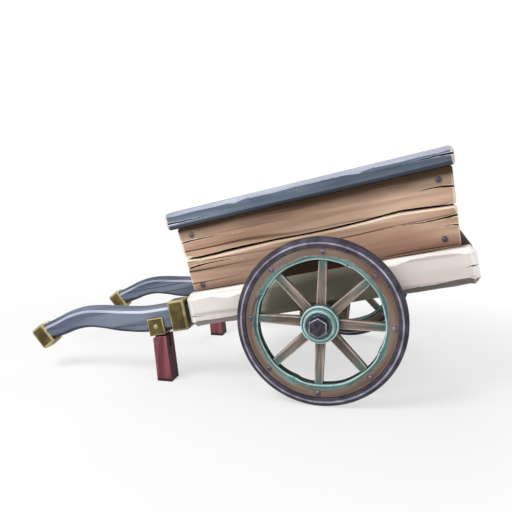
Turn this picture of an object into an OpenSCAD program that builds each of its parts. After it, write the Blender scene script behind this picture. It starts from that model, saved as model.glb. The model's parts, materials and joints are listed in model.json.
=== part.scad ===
// Two-wheeled wooden hand cart, parked nose down on its two wheels and two prop legs.
// X runs from the shaft tips (-) to the tail (+), Y across, Z up, millimetres.
// The left side of the cart, seen by the person who pulls it, is the -Y side.
// The origin is on the ground, under the centre of the whole cart.

/* [Stance] */
// nose-down tilt of the chassis while it stands on its legs, degrees
pitch = 12; // [10:0.1:14]
// height of the beams' underside above the axle's centre line
axle_drop = 38; // [34:1:50]

/* [Wheels] */
// outside diameter over the iron tyre
wheel_d = 812; // [790:2:830]
// distance between the two wheels' middle planes
track = 1290; // [1270:5:1340]
// width of the tyre's tread
tyre_w = 80; // [70:2:90]
// thickness of the iron tyre
tyre_t = 46; // [20:1:50]
// radial depth of the wooden felloe
felloe_t = 60; // [50:1:80]
// width of the wooden felloe
felloe_w = 62; // [50:1:66]
// number of spokes in each wheel
spoke_n = 8; // [6:1:10]
// width of a spoke where it leaves the hub
spoke_root = 50; // [40:1:54]
// width of a spoke where it meets the felloe
spoke_tip = 34; // [26:1:40]
// thickness of a spoke along the axle
spoke_t = 42; // [34:1:48]
// turn of the wheels from one spoke upright, degrees
wheel_turn = 1; // [0:1:44]
// radius of the hub's widest ring
hub_r = 90; // [84:1:96]
// radius of the axle's journals
journal_r = 25; // [22:1:28]
// width of the axle nut across its corners
nut_d = 94; // [80:1:98]

/* [Chassis] */
// length of the two side beams
beam_l = 1450; // [1430:1:1480]
// depth of a side beam
beam_h = 178; // [166:1:190]
// width of a side beam
beam_w = 110; // [100:1:114]
// distance from the cart's middle to the middle of a beam
beam_y = 465; // [460:1:470]
// distance from the axle forward to the beams' front ends
beam_front = 700; // [690:1:710]
// radius of the tow hole through the tail crossbar
tow_r = 11; // [8:0.5:14]
// hewn chamfer along the beams' edges
beam_c = 14; // [6:1:20]

/* [Box] */
// thickness of the planks
plank_t = 30; // [24:1:34]
// outward flare of the sides and lean of the two ends, degrees
flare = 3; // [2:0.5:5]
// height of the side planks above the axle
side_h = 364; // [350:1:390]
// rise of the side's top edge towards the tail, degrees
side_rise = 1.8; // [0:0.1:2.5]
// open seam between two planks
seam = 7; // [4:1:10]
// depth of the cap rails
rail_h = 87; // [74:1:96]
// width of the cap rails
rail_w = 92; // [84:1:100]
// number of floor boards
floor_n = 5; // [4:1:7]
// thickness of the floor boards
floor_t = 26; // [20:1:32]

/* [Shafts and legs] */
// distance from the axle forward to the shaft tips
shaft_reach = 1617; // [1580:1:1650]
// width of a shaft
shaft_w = 86; // [80:1:90]
// angle of the shaft tips below the beams' line, degrees
tip_angle = 28; // [24:1:30]
// distance from the axle forward to the legs' pivots
leg_x = 906; // [900:1:912]
// thickness of a leg's head along the cart
leg_t = 75; // [68:1:80]
// lean of the legs' feet towards the tail, degrees
leg_rake = 7.5; // [4:0.5:10]
// radius of the legs' pivot pins
pin_r = 8; // [6:1:9]

/* [Display] */
// sub-part to build, or all of them
// facets in a full circle
$fn = 96; // [48:8:160]

/* [Hidden] */

blue = [0.36, 0.42, 0.50];
brass = [0.62, 0.53, 0.33];
cream = [0.88, 0.86, 0.83];
tan_wood = [0.66, 0.54, 0.43];
grey_wood = [0.52, 0.47, 0.42];
iron = [0.25, 0.24, 0.29];
teal = [0.47, 0.64, 0.60];
red = [0.44, 0.20, 0.22];

// running clearance of the wheels on the axle and of the legs on their pins
run_gap = 0.08;
pin_gap = 0.05;
// end float of a wheel between the axle's shoulder and the nut's washer
end_float = 2;
eps = 0.01;
big = 2000;

wheel_r = wheel_d / 2;
felloe_ro = wheel_r - tyre_t;
felloe_ri = felloe_ro - felloe_t;

// wheel, along the axle from the wheel's middle plane, outward positive
hub_in = -88;
hub_lip = 84;
hub_floor = 72;
spoke_seat_r = hub_r - 6;
seat_half = 26;
hub_c = 5;
hub_step = 63;
heel_r = 72;
heel_l = 32;
lip_r = 73;
cup_r = 57;
felloe_c = 5;
joint_c = 0.5;
tyre_in_c = 4;
tyre_out_c = 9;
thread_r = journal_r - 3;
axle_sq = 48;
shoulder_r = 44;
nut_h = 46;
nut_c = [12, 7];
washer_r = 51;
washer_t = 5;
thread_short = 10;

// chassis, from the axle forward (-) and back (+), upward from the beams' underside
beam_back = beam_l - beam_front;
beam_in = beam_y - beam_w / 2;
beam_out = beam_y + beam_w / 2;
collar_gap = 16;
collar_back = beam_front + collar_gap;
collar_l = 92;
collar_front = collar_back + collar_l;
collar_wall = 11;
shaft_y = beam_y;
shaft_z = 77;
shaft_half = 70;
tenon_w = 54;
tenon_h = 90;
tenon_l = 84;

// crossbars between the beams: limits along the chassis and in height
front_cross = [-beam_front + 35, -beam_front + 115];
front_cross_z = [34, beam_h];
axle_cross = [-62, 62];
axle_cross_z = [40, beam_h - floor_t];
tail_cross = [beam_back - 104, beam_back - 6];
tail_cross_z = [30, beam_h];
cross_c = 8;
nose_c = 8;
ledge = 26;
board_gap = 4;

// timber bed over the axle between the beams, and the tapered blocks under them
bed_half = 58;
bed_h = 88;
block_foot = 102;
block_top = 124;
block_h = 94;
block_heel = 14;
block_out = beam_out - 6;

// box, from the axle along the chassis
box_front = 669;
box_back = 692;
box_y = 440;
end_inset = 6;
// the planks are drawn from below the beams' tops and trimmed there
plank_foot = -20;
floor_gap = 1;
floor_front = -box_front + end_inset + plank_t / cos(flare) + floor_gap;
seam_part = 0.52;
rail_over = 30;
rail_front = 725;
rail_back = 727;
rail_c = 16;
rail_edge = 5;
rail_top = side_h + rail_h;
end_rail_out = 24;
end_rail_in = 58;
end_rail_h = rail_h - 8;
post_w = 50;
batten_x = 230;
batten_w = 64;
batten_t = 24;

// leg pivot, below the beams' underside, and the brass stirrup that carries it
pivot_z = -48;
stirrup_l = 90;
stirrup_lo = -8;
stirrup_hi = 84;
cheek = 10;
tongue_w = 24;
tongue_l = 44;
leg_slot = 30;
slot_gap = 12;
pin_out = 2;
// the pivot lies this far forward of the stirrup's middle
pivot_fore = 11;
// square head of a leg: reach forward of the pivot, height over it, and the cut that lets it turn
head_fore = 22;
head_top = 33;
head_cut = [12, 8];
foot_fore = 35;
leg_w = 104;
foot_t = 84;

// brass cap on a shaft tip
cap_l = 86;
cap_h = 124;
cap_wall = 6;
tip_z = 62;
// half depth of the shaft at its tip
tip_half = 46.5;
brass_c = 4;

// middle line of a shaft: part of the reach from collar to tip, height above the collar's centre, half depth
shaft_line = [
    [0, 0, shaft_half], [0.18, 2, 69], [0.35, 25, 67], [0.47, 49, 62], [0.565, 64, 58],
    [0.64, 67, 56], [0.72, 60, 54], [0.79, 46, 52], [0.85, 35, 49.5]
];

// a point of the chassis seen from the side, carried into the standing cart
function world_x(x, z) = x * cos(pitch) - (z + axle_drop) * sin(pitch);
function world_z(x, z) = wheel_r + x * sin(pitch) + (z + axle_drop) * cos(pitch);

cap_top_x = -shaft_reach - cap_h / 2 * sin(tip_angle);
cap_top_z = tip_z + cap_h / 2 * cos(tip_angle);
foremost = world_x(cap_top_x, cap_top_z);
rearmost = world_x(beam_back, beam_c);
axle_x = -(foremost + rearmost) / 2;
pivot_wx = axle_x + world_x(-leg_x, pivot_z);
pivot_wz = world_z(-leg_x, pivot_z);

// smooth curve through a list of points
function spline(a, b, c, d, t) =
    (2 * b + (c - a) * t + (2 * a - 5 * b + 4 * c - d) * t * t + (3 * b - a - 3 * c + d) * t * t * t) / 2;
function smooth(p, n) = [
    for (i = [0 : len(p) - 2])
        for (k = [0 : n - 1])
            spline(p[max(i - 1, 0)], p[i], p[i + 1], p[min(i + 2, len(p) - 1)], k / n),
    p[len(p) - 1]
];
// side of a bar of varying depth around its middle line
function edge(p, s) = [
    for (i = [0 : len(p) - 1])
        let (
            a = p[max(i - 1, 0)],
            b = p[min(i + 1, len(p) - 1)],
            d = sqrt(pow(b[0] - a[0], 2) + pow(b[1] - a[1], 2))
        )
        [p[i][0] - s * p[i][2] * (b[1] - a[1]) / d, p[i][1] + s * p[i][2] * (b[0] - a[0]) / d]
];
function backwards(p) = [for (i = [len(p) - 1 : -1 : 0]) p[i]];

// height of the box side's top edge and of the seam between its planks
function top_at(x) = side_h + x * tan(side_rise);
function seam_at(x) = seam_part * top_at(x);
// front and rear edge of a side at a height above the beams
function front_at(z) = -box_front - z * tan(flare);
function back_at(z) = box_back + z * tan(flare);
// height of the end walls, a little under the side rails' lower edges
front_h = top_at(-box_front) - 2;
tail_h = top_at(box_back) - 2;

module chassis() {
    translate([axle_x, 0, wheel_r]) rotate([0, -pitch, 0]) translate([0, 0, axle_drop]) children();
}

module wheel_place(s) {
    mirror([0, s < 0 ? 1 : 0, 0])
        translate([axle_x, track / 2, wheel_r])
            rotate([-90, 0, 0])
                rotate([0, 0, wheel_turn])
                    children();
}

module on_side(s) {
    mirror([0, s < 0 ? 1 : 0, 0]) children();
}

// bar along X with chamfered long edges
module bar(x0, x1, y0, y1, z0, z1, c) {
    translate([x0, 0, 0])
        rotate([90, 0, 90])
            linear_extrude(x1 - x0)
                polygon([
                    [y0 + c, z0], [y1 - c, z0], [y1, z0 + c], [y1, z1 - c],
                    [y1 - c, z1], [y0 + c, z1], [y0, z1 - c], [y0, z0 + c]
                ]);
}

// bar across the cart, from -y to y, with chamfered long edges; x and z are its limits
module cross_bar(y, x, z, c) {
    translate([0, y, 0])
        rotate([90, 0, 0])
            linear_extrude(2 * y)
                polygon([
                    [x[0] + c, z[0]], [x[1] - c, z[0]], [x[1], z[0] + c], [x[1], z[1] - c],
                    [x[1] - c, z[1]], [x[0] + c, z[1]], [x[0], z[1] - c], [x[0], z[0] + c]
                ]);
}

// outline seen from the side, drawn with a thickness that ends at a given Y
module slab(y, t, points) {
    translate([0, y, 0]) rotate([90, 0, 0]) linear_extrude(t) polygon(points);
}

module beam() {
    difference() {
        intersection() {
            bar(-beam_front, beam_back, beam_in, beam_out, 0, beam_h, beam_c);
            slab(beam_out + eps, beam_w + 2 * eps, [
                [-beam_front, nose_c], [-beam_front + nose_c, 0],
                [beam_back - beam_c, 0], [beam_back, beam_c],
                [beam_back, beam_h - 2 * beam_c], [beam_back - 2 * beam_c, beam_h],
                [-beam_front + nose_c, beam_h], [-beam_front, beam_h - nose_c]
            ]);
        }
        translate([-beam_front - 1, shaft_y - tenon_w / 2, shaft_z - tenon_h / 2])
            cube([tenon_l + 1, tenon_w, tenon_h]);
    }
}

module beam_left() {
    color(cream) chassis() on_side(-1) beam();
}
module beam_right() {
    color(cream) chassis() on_side(1) beam();
}

// its rear half is rebated for the floor boards, and the front wall stands on the rest
module front_crossbar() {
    color(grey_wood) chassis() difference() {
        cross_bar(beam_in, front_cross, front_cross_z, cross_c);
        translate([floor_front, -big / 2, beam_h - floor_t]) cube([beam_w, big, big]);
    }
}
module axle_crossbar() {
    color(grey_wood) chassis() cross_bar(beam_in, axle_cross, axle_cross_z, cross_c);
}
module tail_crossbar() {
    color(cream) chassis() difference() {
        union() {
            cross_bar(beam_in, tail_cross, tail_cross_z, beam_c);
            translate([tail_cross[0] - ledge, -beam_in, tail_cross_z[0] + beam_c])
                cube([2 * ledge, 2 * beam_in, beam_h - floor_t - tail_cross_z[0] - beam_c]);
        }
        translate([tail_cross[0] - ledge - 1, 0, (tail_cross_z[0] + tail_cross_z[1]) / 2])
            rotate([0, 90, 0])
                cylinder(r = tow_r, h = tail_cross[1] - tail_cross[0] + ledge + 2);
    }
}

// boards along the cart, flush with the beams' tops, on the three crossbars
module floor_boards() {
    board_w = (2 * beam_in - board_gap) / floor_n;
    color(tan_wood) chassis()
        for (i = [0 : floor_n - 1])
            translate([floor_front, board_gap - beam_in + i * board_w, beam_h - floor_t])
                cube([tail_cross[0] - floor_front, board_w - board_gap, floor_t]);
}

// frame of a side wall: origin on the outer face's bottom edge, Z up the flared face
module side_frame(s) {
    on_side(s) translate([0, box_y, beam_h]) rotate([-flare, 0, 0]) children();
}
// frames of the front and tail walls, X through the wall
module front_frame() {
    translate([-box_front + end_inset, 0, beam_h]) rotate([0, -flare, 0]) children();
}
module tail_frame() {
    translate([box_back - end_inset, 0, beam_h]) rotate([0, flare, 0]) children();
}

// all that lies further out than a depth behind the side walls' outer faces
module outside_sides(depth) {
    for (s = [-1, 1])
        side_frame(s) translate([-big, -depth, -big / 2]) cube([2 * big, big, big]);
}
module outside_front(depth) {
    front_frame() translate([depth - big, -big, -big / 2]) cube([big, 2 * big, big]);
}
module outside_tail(depth) {
    tail_frame() translate([-depth, -big, -big / 2]) cube([big, 2 * big, big]);
}
module above_sides() {
    for (s = [-1, 1])
        side_frame(s)
            translate([0, 0, side_h])
                rotate([0, -side_rise, 0])
                    translate([-big, -big, 0])
                        cube([2 * big, 2 * big, big]);
}
module below(z) {
    translate([-big, -big, z - big]) cube([2 * big, 2 * big, big]);
}

module side_lower(s) {
    difference() {
        side_frame(s) slab(0, plank_t, [
            [front_at(plank_foot), plank_foot],
            [back_at(plank_foot), plank_foot],
            [back_at(seam_at(box_back)), seam_at(box_back) - seam / 2],
            [front_at(seam_at(-box_front)), seam_at(-box_front) - seam / 2]
        ]);
        below(beam_h);
    }
}
module side_upper(s) {
    xf = front_at(top_at(-box_front));
    xb = back_at(top_at(box_back));
    side_frame(s) slab(0, plank_t, [
        [front_at(seam_at(-box_front)), seam_at(-box_front) + seam / 2],
        [back_at(seam_at(box_back)), seam_at(box_back) + seam / 2],
        [xb, top_at(xb)],
        [xf, top_at(xf)]
    ]);
}
module side_lower_left() {
    color(tan_wood) chassis() side_lower(-1);
}
module side_lower_right() {
    color(tan_wood) chassis() side_lower(1);
}
module side_upper_left() {
    color(tan_wood) chassis() side_upper(-1);
}
module side_upper_right() {
    color(tan_wood) chassis() side_upper(1);
}

// planks of an end wall between two heights, trimmed to the side walls' inner faces
module end_plank(x0, z0, z1) {
    translate([x0, -big / 2, z0]) cube([plank_t, big, z1 - z0]);
}
module front_lower() {
    color(tan_wood) chassis() difference() {
        front_frame() end_plank(0, plank_foot, seam_at(-box_front) - seam / 2);
        outside_sides(plank_t);
        below(beam_h);
    }
}
module front_upper() {
    color(tan_wood) chassis() difference() {
        front_frame() end_plank(0, seam_at(-box_front) + seam / 2, front_h);
        outside_sides(plank_t);
    }
}
module tail_lower() {
    color(tan_wood) chassis() difference() {
        tail_frame() end_plank(-plank_t, plank_foot, seam_at(box_back) - seam / 2);
        outside_sides(plank_t);
        below(beam_h);
    }
}
module tail_upper() {
    color(tan_wood) chassis() difference() {
        tail_frame() end_plank(-plank_t, seam_at(box_back) + seam / 2, tail_h);
        outside_sides(plank_t);
    }
}

module cap_rail(s) {
    side_frame(s)
        translate([0, 0, side_h])
            rotate([0, -side_rise, 0])
                difference() {
                    bar(-rail_front, rail_back, rail_over - rail_w, rail_over, 0, rail_h, rail_edge);
                    translate([-big, rail_over, rail_h])
                        rotate([45, 0, 0])
                            translate([0, -rail_c, -rail_c])
                                cube([2 * big, 2 * rail_c, 2 * rail_c]);
                }
}
module cap_rail_left() {
    color(blue) chassis() cap_rail(-1);
}
module cap_rail_right() {
    color(blue) chassis() cap_rail(1);
}
module front_rail() {
    color(blue) chassis() difference() {
        front_frame()
            translate([0, 0, front_h])
                cross_bar(box_y + rail_w, [-end_rail_out, end_rail_in], [0, end_rail_h], cross_c);
        outside_sides(rail_w - rail_over);
    }
}
module tail_rail() {
    color(blue) chassis() difference() {
        tail_frame()
            translate([0, 0, tail_h])
                cross_bar(box_y + rail_w, [-end_rail_in, end_rail_out], [0, end_rail_h], cross_c);
        outside_sides(rail_w - rail_over);
    }
}

// posts in the four inner corners, leaning with the end walls
module corner_posts() {
    in = end_inset + plank_t + post_w;
    color(grey_wood) chassis()
        difference() {
            for (s = [-1, 1])
                side_frame(s) {
                    slab(-plank_t, post_w, [
                        [front_at(0), 0], [front_at(0) + in, 0],
                        [front_at(rail_top) + in, rail_top], [front_at(rail_top), rail_top]
                    ]);
                    slab(-plank_t, post_w, [
                        [back_at(0) - in, 0], [back_at(0), 0],
                        [back_at(rail_top), rail_top], [back_at(rail_top) - in, rail_top]
                    ]);
                }
            outside_front(plank_t);
            outside_tail(plank_t);
            below(beam_h);
            above_sides();
            above_end_walls();
        }
}
module above_end_walls() {
    front_frame() translate([-big, -big, front_h]) cube([big + 2 * rail_w, 2 * big, big]);
    tail_frame() translate([-2 * rail_w, -big, tail_h]) cube([big + 2 * rail_w, 2 * big, big]);
}

module side_battens() {
    color(grey_wood) chassis()
        difference() {
            for (s = [-1, 1], x = [-batten_x, batten_x])
                side_frame(s)
                    translate([x - batten_w / 2, -plank_t - batten_t, 0])
                        cube([batten_w, batten_t, rail_top]);
            above_sides();
            below(beam_h);
        }
}

module axle_piece(r, y0, y1) {
    for (s = [-1, 1])
        on_side(s) translate([0, y0, -axle_drop]) rotate([-90, 0, 0]) cylinder(r = r, h = y1 - y0);
}
module axle() {
    shoulder_y = track / 2 + hub_in - end_float;
    journal_y = track / 2 + hub_floor + end_float;
    color(iron) chassis() union() {
        translate([-axle_sq / 2, -block_out - 1, -axle_drop - axle_sq / 2])
            cube([axle_sq, 2 * block_out + 2, axle_sq]);
        axle_piece(shoulder_r, block_out, shoulder_y);
        axle_piece(journal_r, shoulder_y - eps, journal_y);
        axle_piece(thread_r, journal_y - eps, journal_y + nut_h - thread_short);
    }
}
// the axle's square bar with the way it drops in from below
module axle_slot(depth) {
    translate([-axle_sq / 2, -big / 2, -axle_drop - axle_sq / 2 - depth])
        cube([axle_sq, big, axle_sq + depth]);
}
module axle_bed() {
    color(grey_wood) chassis()
        difference() {
            cross_bar(beam_in - 2, [-bed_half, bed_half], [-bed_h, 0], cross_c);
            axle_slot(bed_h);
        }
}
module axle_block() {
    difference() {
        slab(block_out, block_out - beam_in + 2, [
            [-block_top, 0], [-block_top, -block_heel],
            [-block_foot, cross_c - block_h], [cross_c - block_foot, -block_h],
            [block_foot - cross_c, -block_h], [block_foot, cross_c - block_h],
            [block_top, -block_heel], [block_top, 0]
        ]);
        axle_slot(0);
    }
}
module axle_block_left() {
    color(grey_wood) chassis() on_side(-1) axle_block();
}
module axle_block_right() {
    color(grey_wood) chassis() on_side(1) axle_block();
}

// washer and closed hexagon nut over the axle's threaded end, corners chamfered
module axle_nut() {
    z0 = hub_floor + end_float;
    difference() {
        union() {
            translate([0, 0, z0]) cylinder(r = washer_r, h = washer_t);
            intersection() {
                rotate([0, 0, 30])
                    translate([0, 0, z0 + washer_t])
                        cylinder(r = nut_d / 2, h = nut_h - washer_t, $fn = 6);
                translate([0, 0, z0])
                    rotate_extrude()
                        polygon([
                            [0, 0], [nut_d / 2, 0], [nut_d / 2, nut_h - nut_c[1]],
                            [nut_d / 2 - nut_c[0], nut_h], [0, nut_h]
                        ]);
            }
        }
        translate([0, 0, z0 - 1]) cylinder(r = thread_r, h = nut_h - thread_short + 2);
    }
}
module axle_nut_left() {
    color(iron) nut_place(-1) axle_nut();
}
module axle_nut_right() {
    color(iron) nut_place(1) axle_nut();
}
module nut_place(s) {
    on_side(s) translate([axle_x, track / 2, wheel_r]) rotate([-90, 0, 0]) children();
}

// middle line of the whole shaft, collar end to tip, in chassis coordinates
function shaft_path() =
    let (
        run = shaft_reach - collar_front,
        c = cos(tip_angle),
        s = sin(tip_angle)
    )
    concat(
        [for (p = shaft_line) [-collar_front - p[0] * run, shaft_z + p[1], p[2]]],
        [
            [-shaft_reach + cap_l * c, tip_z + cap_l * s, tip_half + 1],
            [-shaft_reach + cap_l / 2 * c, tip_z + cap_l / 2 * s, tip_half + 0.5],
            [-shaft_reach + cap_wall * c, tip_z + cap_wall * s, tip_half]
        ]
    );

module shaft() {
    path = smooth(shaft_path(), 6);
    union() {
        slab(shaft_y + shaft_w / 2, shaft_w, concat(
            [[-collar_back, shaft_z - shaft_half], [-collar_back, shaft_z + shaft_half]],
            edge(path, -1),
            backwards(edge(path, 1))
        ));
        translate([-collar_back - 1, shaft_y - tenon_w / 2, shaft_z - tenon_h / 2])
            cube([tenon_l + collar_back - beam_front + 1, tenon_w, tenon_h]);
    }
}
module shaft_left() {
    color(blue) chassis() on_side(-1) shaft();
}
module shaft_right() {
    color(blue) chassis() on_side(1) shaft();
}

module shaft_collar() {
    w = shaft_w + 2 * collar_wall;
    difference() {
        bar(-collar_front, -collar_back, shaft_y - w / 2, shaft_y + w / 2,
            shaft_z - shaft_half - collar_wall, shaft_z + shaft_half + collar_wall, brass_c);
        shaft();
    }
}
module shaft_collar_left() {
    color(brass) chassis() on_side(-1) shaft_collar();
}
module shaft_collar_right() {
    color(brass) chassis() on_side(1) shaft_collar();
}

module shaft_cap() {
    w = shaft_w + 2 * cap_wall;
    difference() {
        translate([-shaft_reach, shaft_y, tip_z])
            rotate([0, -tip_angle, 0])
                bar(0, cap_l, -w / 2, w / 2, -cap_h / 2, cap_h / 2, brass_c);
        shaft();
    }
}
module shaft_cap_left() {
    color(brass) chassis() on_side(-1) shaft_cap();
}
module shaft_cap_right() {
    color(brass) chassis() on_side(1) shaft_cap();
}

// brass stirrup round the shaft, with a tongue below it that the leg hangs on
module leg_bracket() {
    w = shaft_w + 2 * cheek;
    difference() {
        union() {
            translate([pivot_fore - leg_x - stirrup_l / 2, shaft_y - w / 2, stirrup_lo])
                cube([stirrup_l, w, stirrup_hi - stirrup_lo]);
            translate([-leg_x - tongue_l / 2, shaft_y - tongue_w / 2, pivot_z])
                cube([tongue_l, tongue_w, stirrup_lo - pivot_z + 1]);
            translate([-leg_x, shaft_y - tongue_w / 2, pivot_z])
                rotate([-90, 0, 0])
                    cylinder(r = tongue_l / 2, h = tongue_w);
        }
        shaft();
        translate([-leg_x, shaft_y - w, pivot_z])
            rotate([-90, 0, 0])
                cylinder(r = pin_r + pin_gap, h = 2 * w);
    }
}
module leg_bracket_left() {
    color(brass) chassis() on_side(-1) leg_bracket();
}
module leg_bracket_right() {
    color(brass) chassis() on_side(1) leg_bracket();
}

module leg_place(s) {
    on_side(s) translate([pivot_wx, shaft_y, pivot_wz]) children();
}

module prop_leg() {
    long = pivot_wz / cos(leg_rake) + foot_t;
    difference() {
        rotate([0, -leg_rake, 0])
            difference() {
                slab(leg_w / 2, leg_w, [
                    [-head_fore, head_top - head_cut[1]], [-foot_fore, -long],
                    [foot_t - foot_fore, -long], [leg_t - head_fore, head_top],
                    [head_cut[0] - head_fore, head_top]
                ]);
                translate([-big / 2, -leg_slot / 2, -tongue_l / 2 - slot_gap]) cube([big, leg_slot, big]);
                translate([0, -leg_w, 0]) rotate([-90, 0, 0]) cylinder(r = pin_r, h = 2 * leg_w);
            }
        translate([-big, -big, -pivot_wz - big]) cube([2 * big, 2 * big, big]);
    }
}
module prop_leg_left() {
    color(red) leg_place(-1) prop_leg();
}
module prop_leg_right() {
    color(red) leg_place(1) prop_leg();
}

module leg_pin() {
    translate([0, -leg_w / 2 - pin_out, 0]) rotate([-90, 0, 0]) cylinder(r = pin_r, h = leg_w + 2 * pin_out);
}
module leg_pin_left() {
    color(iron) leg_place(-1) leg_pin();
}
module leg_pin_right() {
    color(iron) leg_place(1) leg_pin();
}

module hub() {
    rotate_extrude()
        polygon([
            [journal_r + run_gap, hub_in],
            [heel_r - hub_c, hub_in], [heel_r, hub_in + hub_c],
            [heel_r, hub_in + heel_l - hub_c], [heel_r - hub_c, hub_in + heel_l],
            [spoke_seat_r - hub_c, -seat_half - hub_c], [spoke_seat_r, -seat_half],
            [spoke_seat_r, seat_half], [hub_r, seat_half + hub_c],
            [hub_r, hub_step - hub_c], [hub_r - hub_c, hub_step],
            [lip_r, hub_step], [lip_r, hub_lip - hub_c],
            [lip_r - hub_c, hub_lip], [cup_r + hub_c, hub_lip], [cup_r, hub_floor],
            [journal_r + run_gap, hub_floor]
        ]);
}
module spokes() {
    intersection() {
        difference() {
            for (i = [0 : spoke_n - 1])
                rotate([0, 0, 90 + i * 360 / spoke_n])
                    translate([0, 0, -spoke_t / 2])
                        linear_extrude(spoke_t)
                            polygon([
                                [journal_r, -spoke_root / 2], [wheel_r, -spoke_tip / 2],
                                [wheel_r, spoke_tip / 2], [journal_r, spoke_root / 2]
                            ]);
            translate([0, 0, -spoke_t]) cylinder(r = spoke_seat_r, h = 2 * spoke_t);
        }
        translate([0, 0, -spoke_t]) cylinder(r = felloe_ri, h = 2 * spoke_t);
    }
}
// ring of width w with chamfers ci inside and co outside
module ring(ri, ro, w, ci, co) {
    rotate_extrude()
        polygon([
            [ri + ci, -w / 2], [ro - co, -w / 2], [ro, -w / 2 + co], [ro, w / 2 - co],
            [ro - co, w / 2], [ri + ci, w / 2], [ri, w / 2 - ci], [ri, -w / 2 + ci]
        ]);
}
module felloe() {
    ring(felloe_ri, felloe_ro, felloe_w, felloe_c, joint_c);
}
module tyre() {
    ring(felloe_ro, wheel_r, tyre_w, tyre_in_c, tyre_out_c);
}

module hub_left() {
    color(teal) wheel_place(-1) hub();
}
module hub_right() {
    color(teal) wheel_place(1) hub();
}
module spokes_left() {
    color(grey_wood) wheel_place(-1) spokes();
}
module spokes_right() {
    color(grey_wood) wheel_place(1) spokes();
}
module felloe_left() {
    color(grey_wood) wheel_place(-1) felloe();
}
module felloe_right() {
    color(grey_wood) wheel_place(1) felloe();
}
module tyre_left() {
    color(iron) wheel_place(-1) tyre();
}
module tyre_right() {
    color(iron) wheel_place(1) tyre();
}

beam_left();
beam_right();
front_crossbar();
axle_crossbar();
tail_crossbar();
floor_boards();
side_lower_left();
side_lower_right();
side_upper_left();
side_upper_right();
front_lower();
front_upper();
tail_lower();
tail_upper();
cap_rail_left();
cap_rail_right();
front_rail();
tail_rail();
corner_posts();
side_battens();
axle();
axle_bed();
axle_block_left();
axle_block_right();
axle_nut_left();
axle_nut_right();
shaft_left();
shaft_right();
shaft_collar_left();
shaft_collar_right();
shaft_cap_left();
shaft_cap_right();
leg_bracket_left();
leg_bracket_right();
prop_leg_left();
prop_leg_right();
leg_pin_left();
leg_pin_right();
hub_left();
spokes_left();
felloe_left();
tyre_left();
hub_right();
spokes_right();
felloe_right();
tyre_right();
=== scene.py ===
import json
import math
import random

import bpy
from mathutils import Matrix, Vector


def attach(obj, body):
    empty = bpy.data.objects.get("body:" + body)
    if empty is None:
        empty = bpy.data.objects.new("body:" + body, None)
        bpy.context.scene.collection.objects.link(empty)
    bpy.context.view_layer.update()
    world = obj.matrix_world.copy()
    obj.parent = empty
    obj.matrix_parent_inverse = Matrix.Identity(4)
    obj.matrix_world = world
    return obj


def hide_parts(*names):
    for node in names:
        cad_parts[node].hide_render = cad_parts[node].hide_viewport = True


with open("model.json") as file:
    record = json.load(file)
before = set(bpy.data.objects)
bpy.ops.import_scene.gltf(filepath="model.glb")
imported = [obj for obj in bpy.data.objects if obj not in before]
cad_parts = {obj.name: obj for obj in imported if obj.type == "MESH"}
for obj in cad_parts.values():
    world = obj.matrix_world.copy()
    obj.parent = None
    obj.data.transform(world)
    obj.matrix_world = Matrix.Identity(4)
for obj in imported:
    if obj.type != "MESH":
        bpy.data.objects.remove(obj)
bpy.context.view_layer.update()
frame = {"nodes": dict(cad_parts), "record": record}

# ---- Beams ----
# Two hewn softwood beams carry the box. They were squared with an axe, so their corners are wide, wavy
# facets. They are limewashed: chalky on the faces and pale on the corners, partly rubbed and partly painted
# highlight; their undersides are painted darker as shade.

record = frame["record"]
joints = {joint["name"]: joint for joint in record["behaviour"]["joints"]}
mounts = {mount["name"]: mount for mount in record["mounts"]}
hitch_axis = mounts["tow_hole"]["axis"]
pitch = math.atan2(hitch_axis[2], hitch_axis[0])
axle = Vector(joints["wheel_left_spin"]["pos_m"])
axle_drop = 0.038
# chassis frame: X back from the axle, Z up from the beams' undersides
chassis = (
    Matrix.Translation((axle.x, 0, axle.z))
    @ Matrix.Rotation(-pitch, 4, "Y")
    @ Matrix.Translation((0, 0, axle_drop))
)
SIDES = {"left": -1, "right": 1}

# turns of the grain: along the chassis, across the cart, up a post or leg
ALONG = (0, pitch, 0)
ACROSS = (0, 0, math.pi / 2)
UPRIGHT = (0, math.pi / 2, 0)


def across(s):
    """Mirrors a piece that was made on the +Y side onto side s."""
    return Matrix.Diagonal((1, s, 1, 1))


def measured(node, place):
    """A CAD node's points in a local frame."""
    back = place.inverted()
    return [back @ vertex.co for vertex in frame["nodes"][node].data.vertices]


def measure(node, place):
    """Lowest and highest corner of a CAD node in a local frame."""
    points = measured(node, place)
    return [Vector([pick(p[i] for p in points) for i in range(3)]) for pick in (min, max)]


def colour(code):
    """sRGB hex to the linear colour that a shader reads."""
    parts = [int(code[i : i + 2], 16) / 255 for i in (0, 2, 4)]
    return [p / 12.92 if p <= 0.04045 else ((p + 0.055) / 1.055) ** 2.4 for p in parts] + [1]


def add(tree, kind, inputs=None, ramp=None, **settings):
    """Adds a node with its settings, its inputs (values, hex colours or sockets) and a ramp's stops."""
    made = tree.nodes.new("ShaderNode" + kind)
    for key, value in settings.items():
        setattr(made, key, value)
    for key, value in (inputs or {}).items():
        if isinstance(value, bpy.types.NodeSocket):
            tree.links.new(value, made.inputs[key])
        else:
            made.inputs[key].default_value = colour(value) if isinstance(value, str) else value
    if ramp:
        stops = made.color_ramp.elements
        while len(stops) < len(ramp):
            stops.new(0.5)
        for stop, (place, value) in zip(stops, ramp):
            stop.position = place
            stop.color = colour(value) if isinstance(value, str) else (value, value, value, 1)
    return made


def new_material(name):
    """A material with its node tree and its shader."""
    made = bpy.data.materials.new(name)
    made.use_nodes = True
    return made, made.node_tree, made.node_tree.nodes["Principled BSDF"]


# settings of a Mix node for colours: its share is input 0, its colours inputs 6 and 7, its result output 2
COLOURS = dict(data_type="RGBA")


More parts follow.
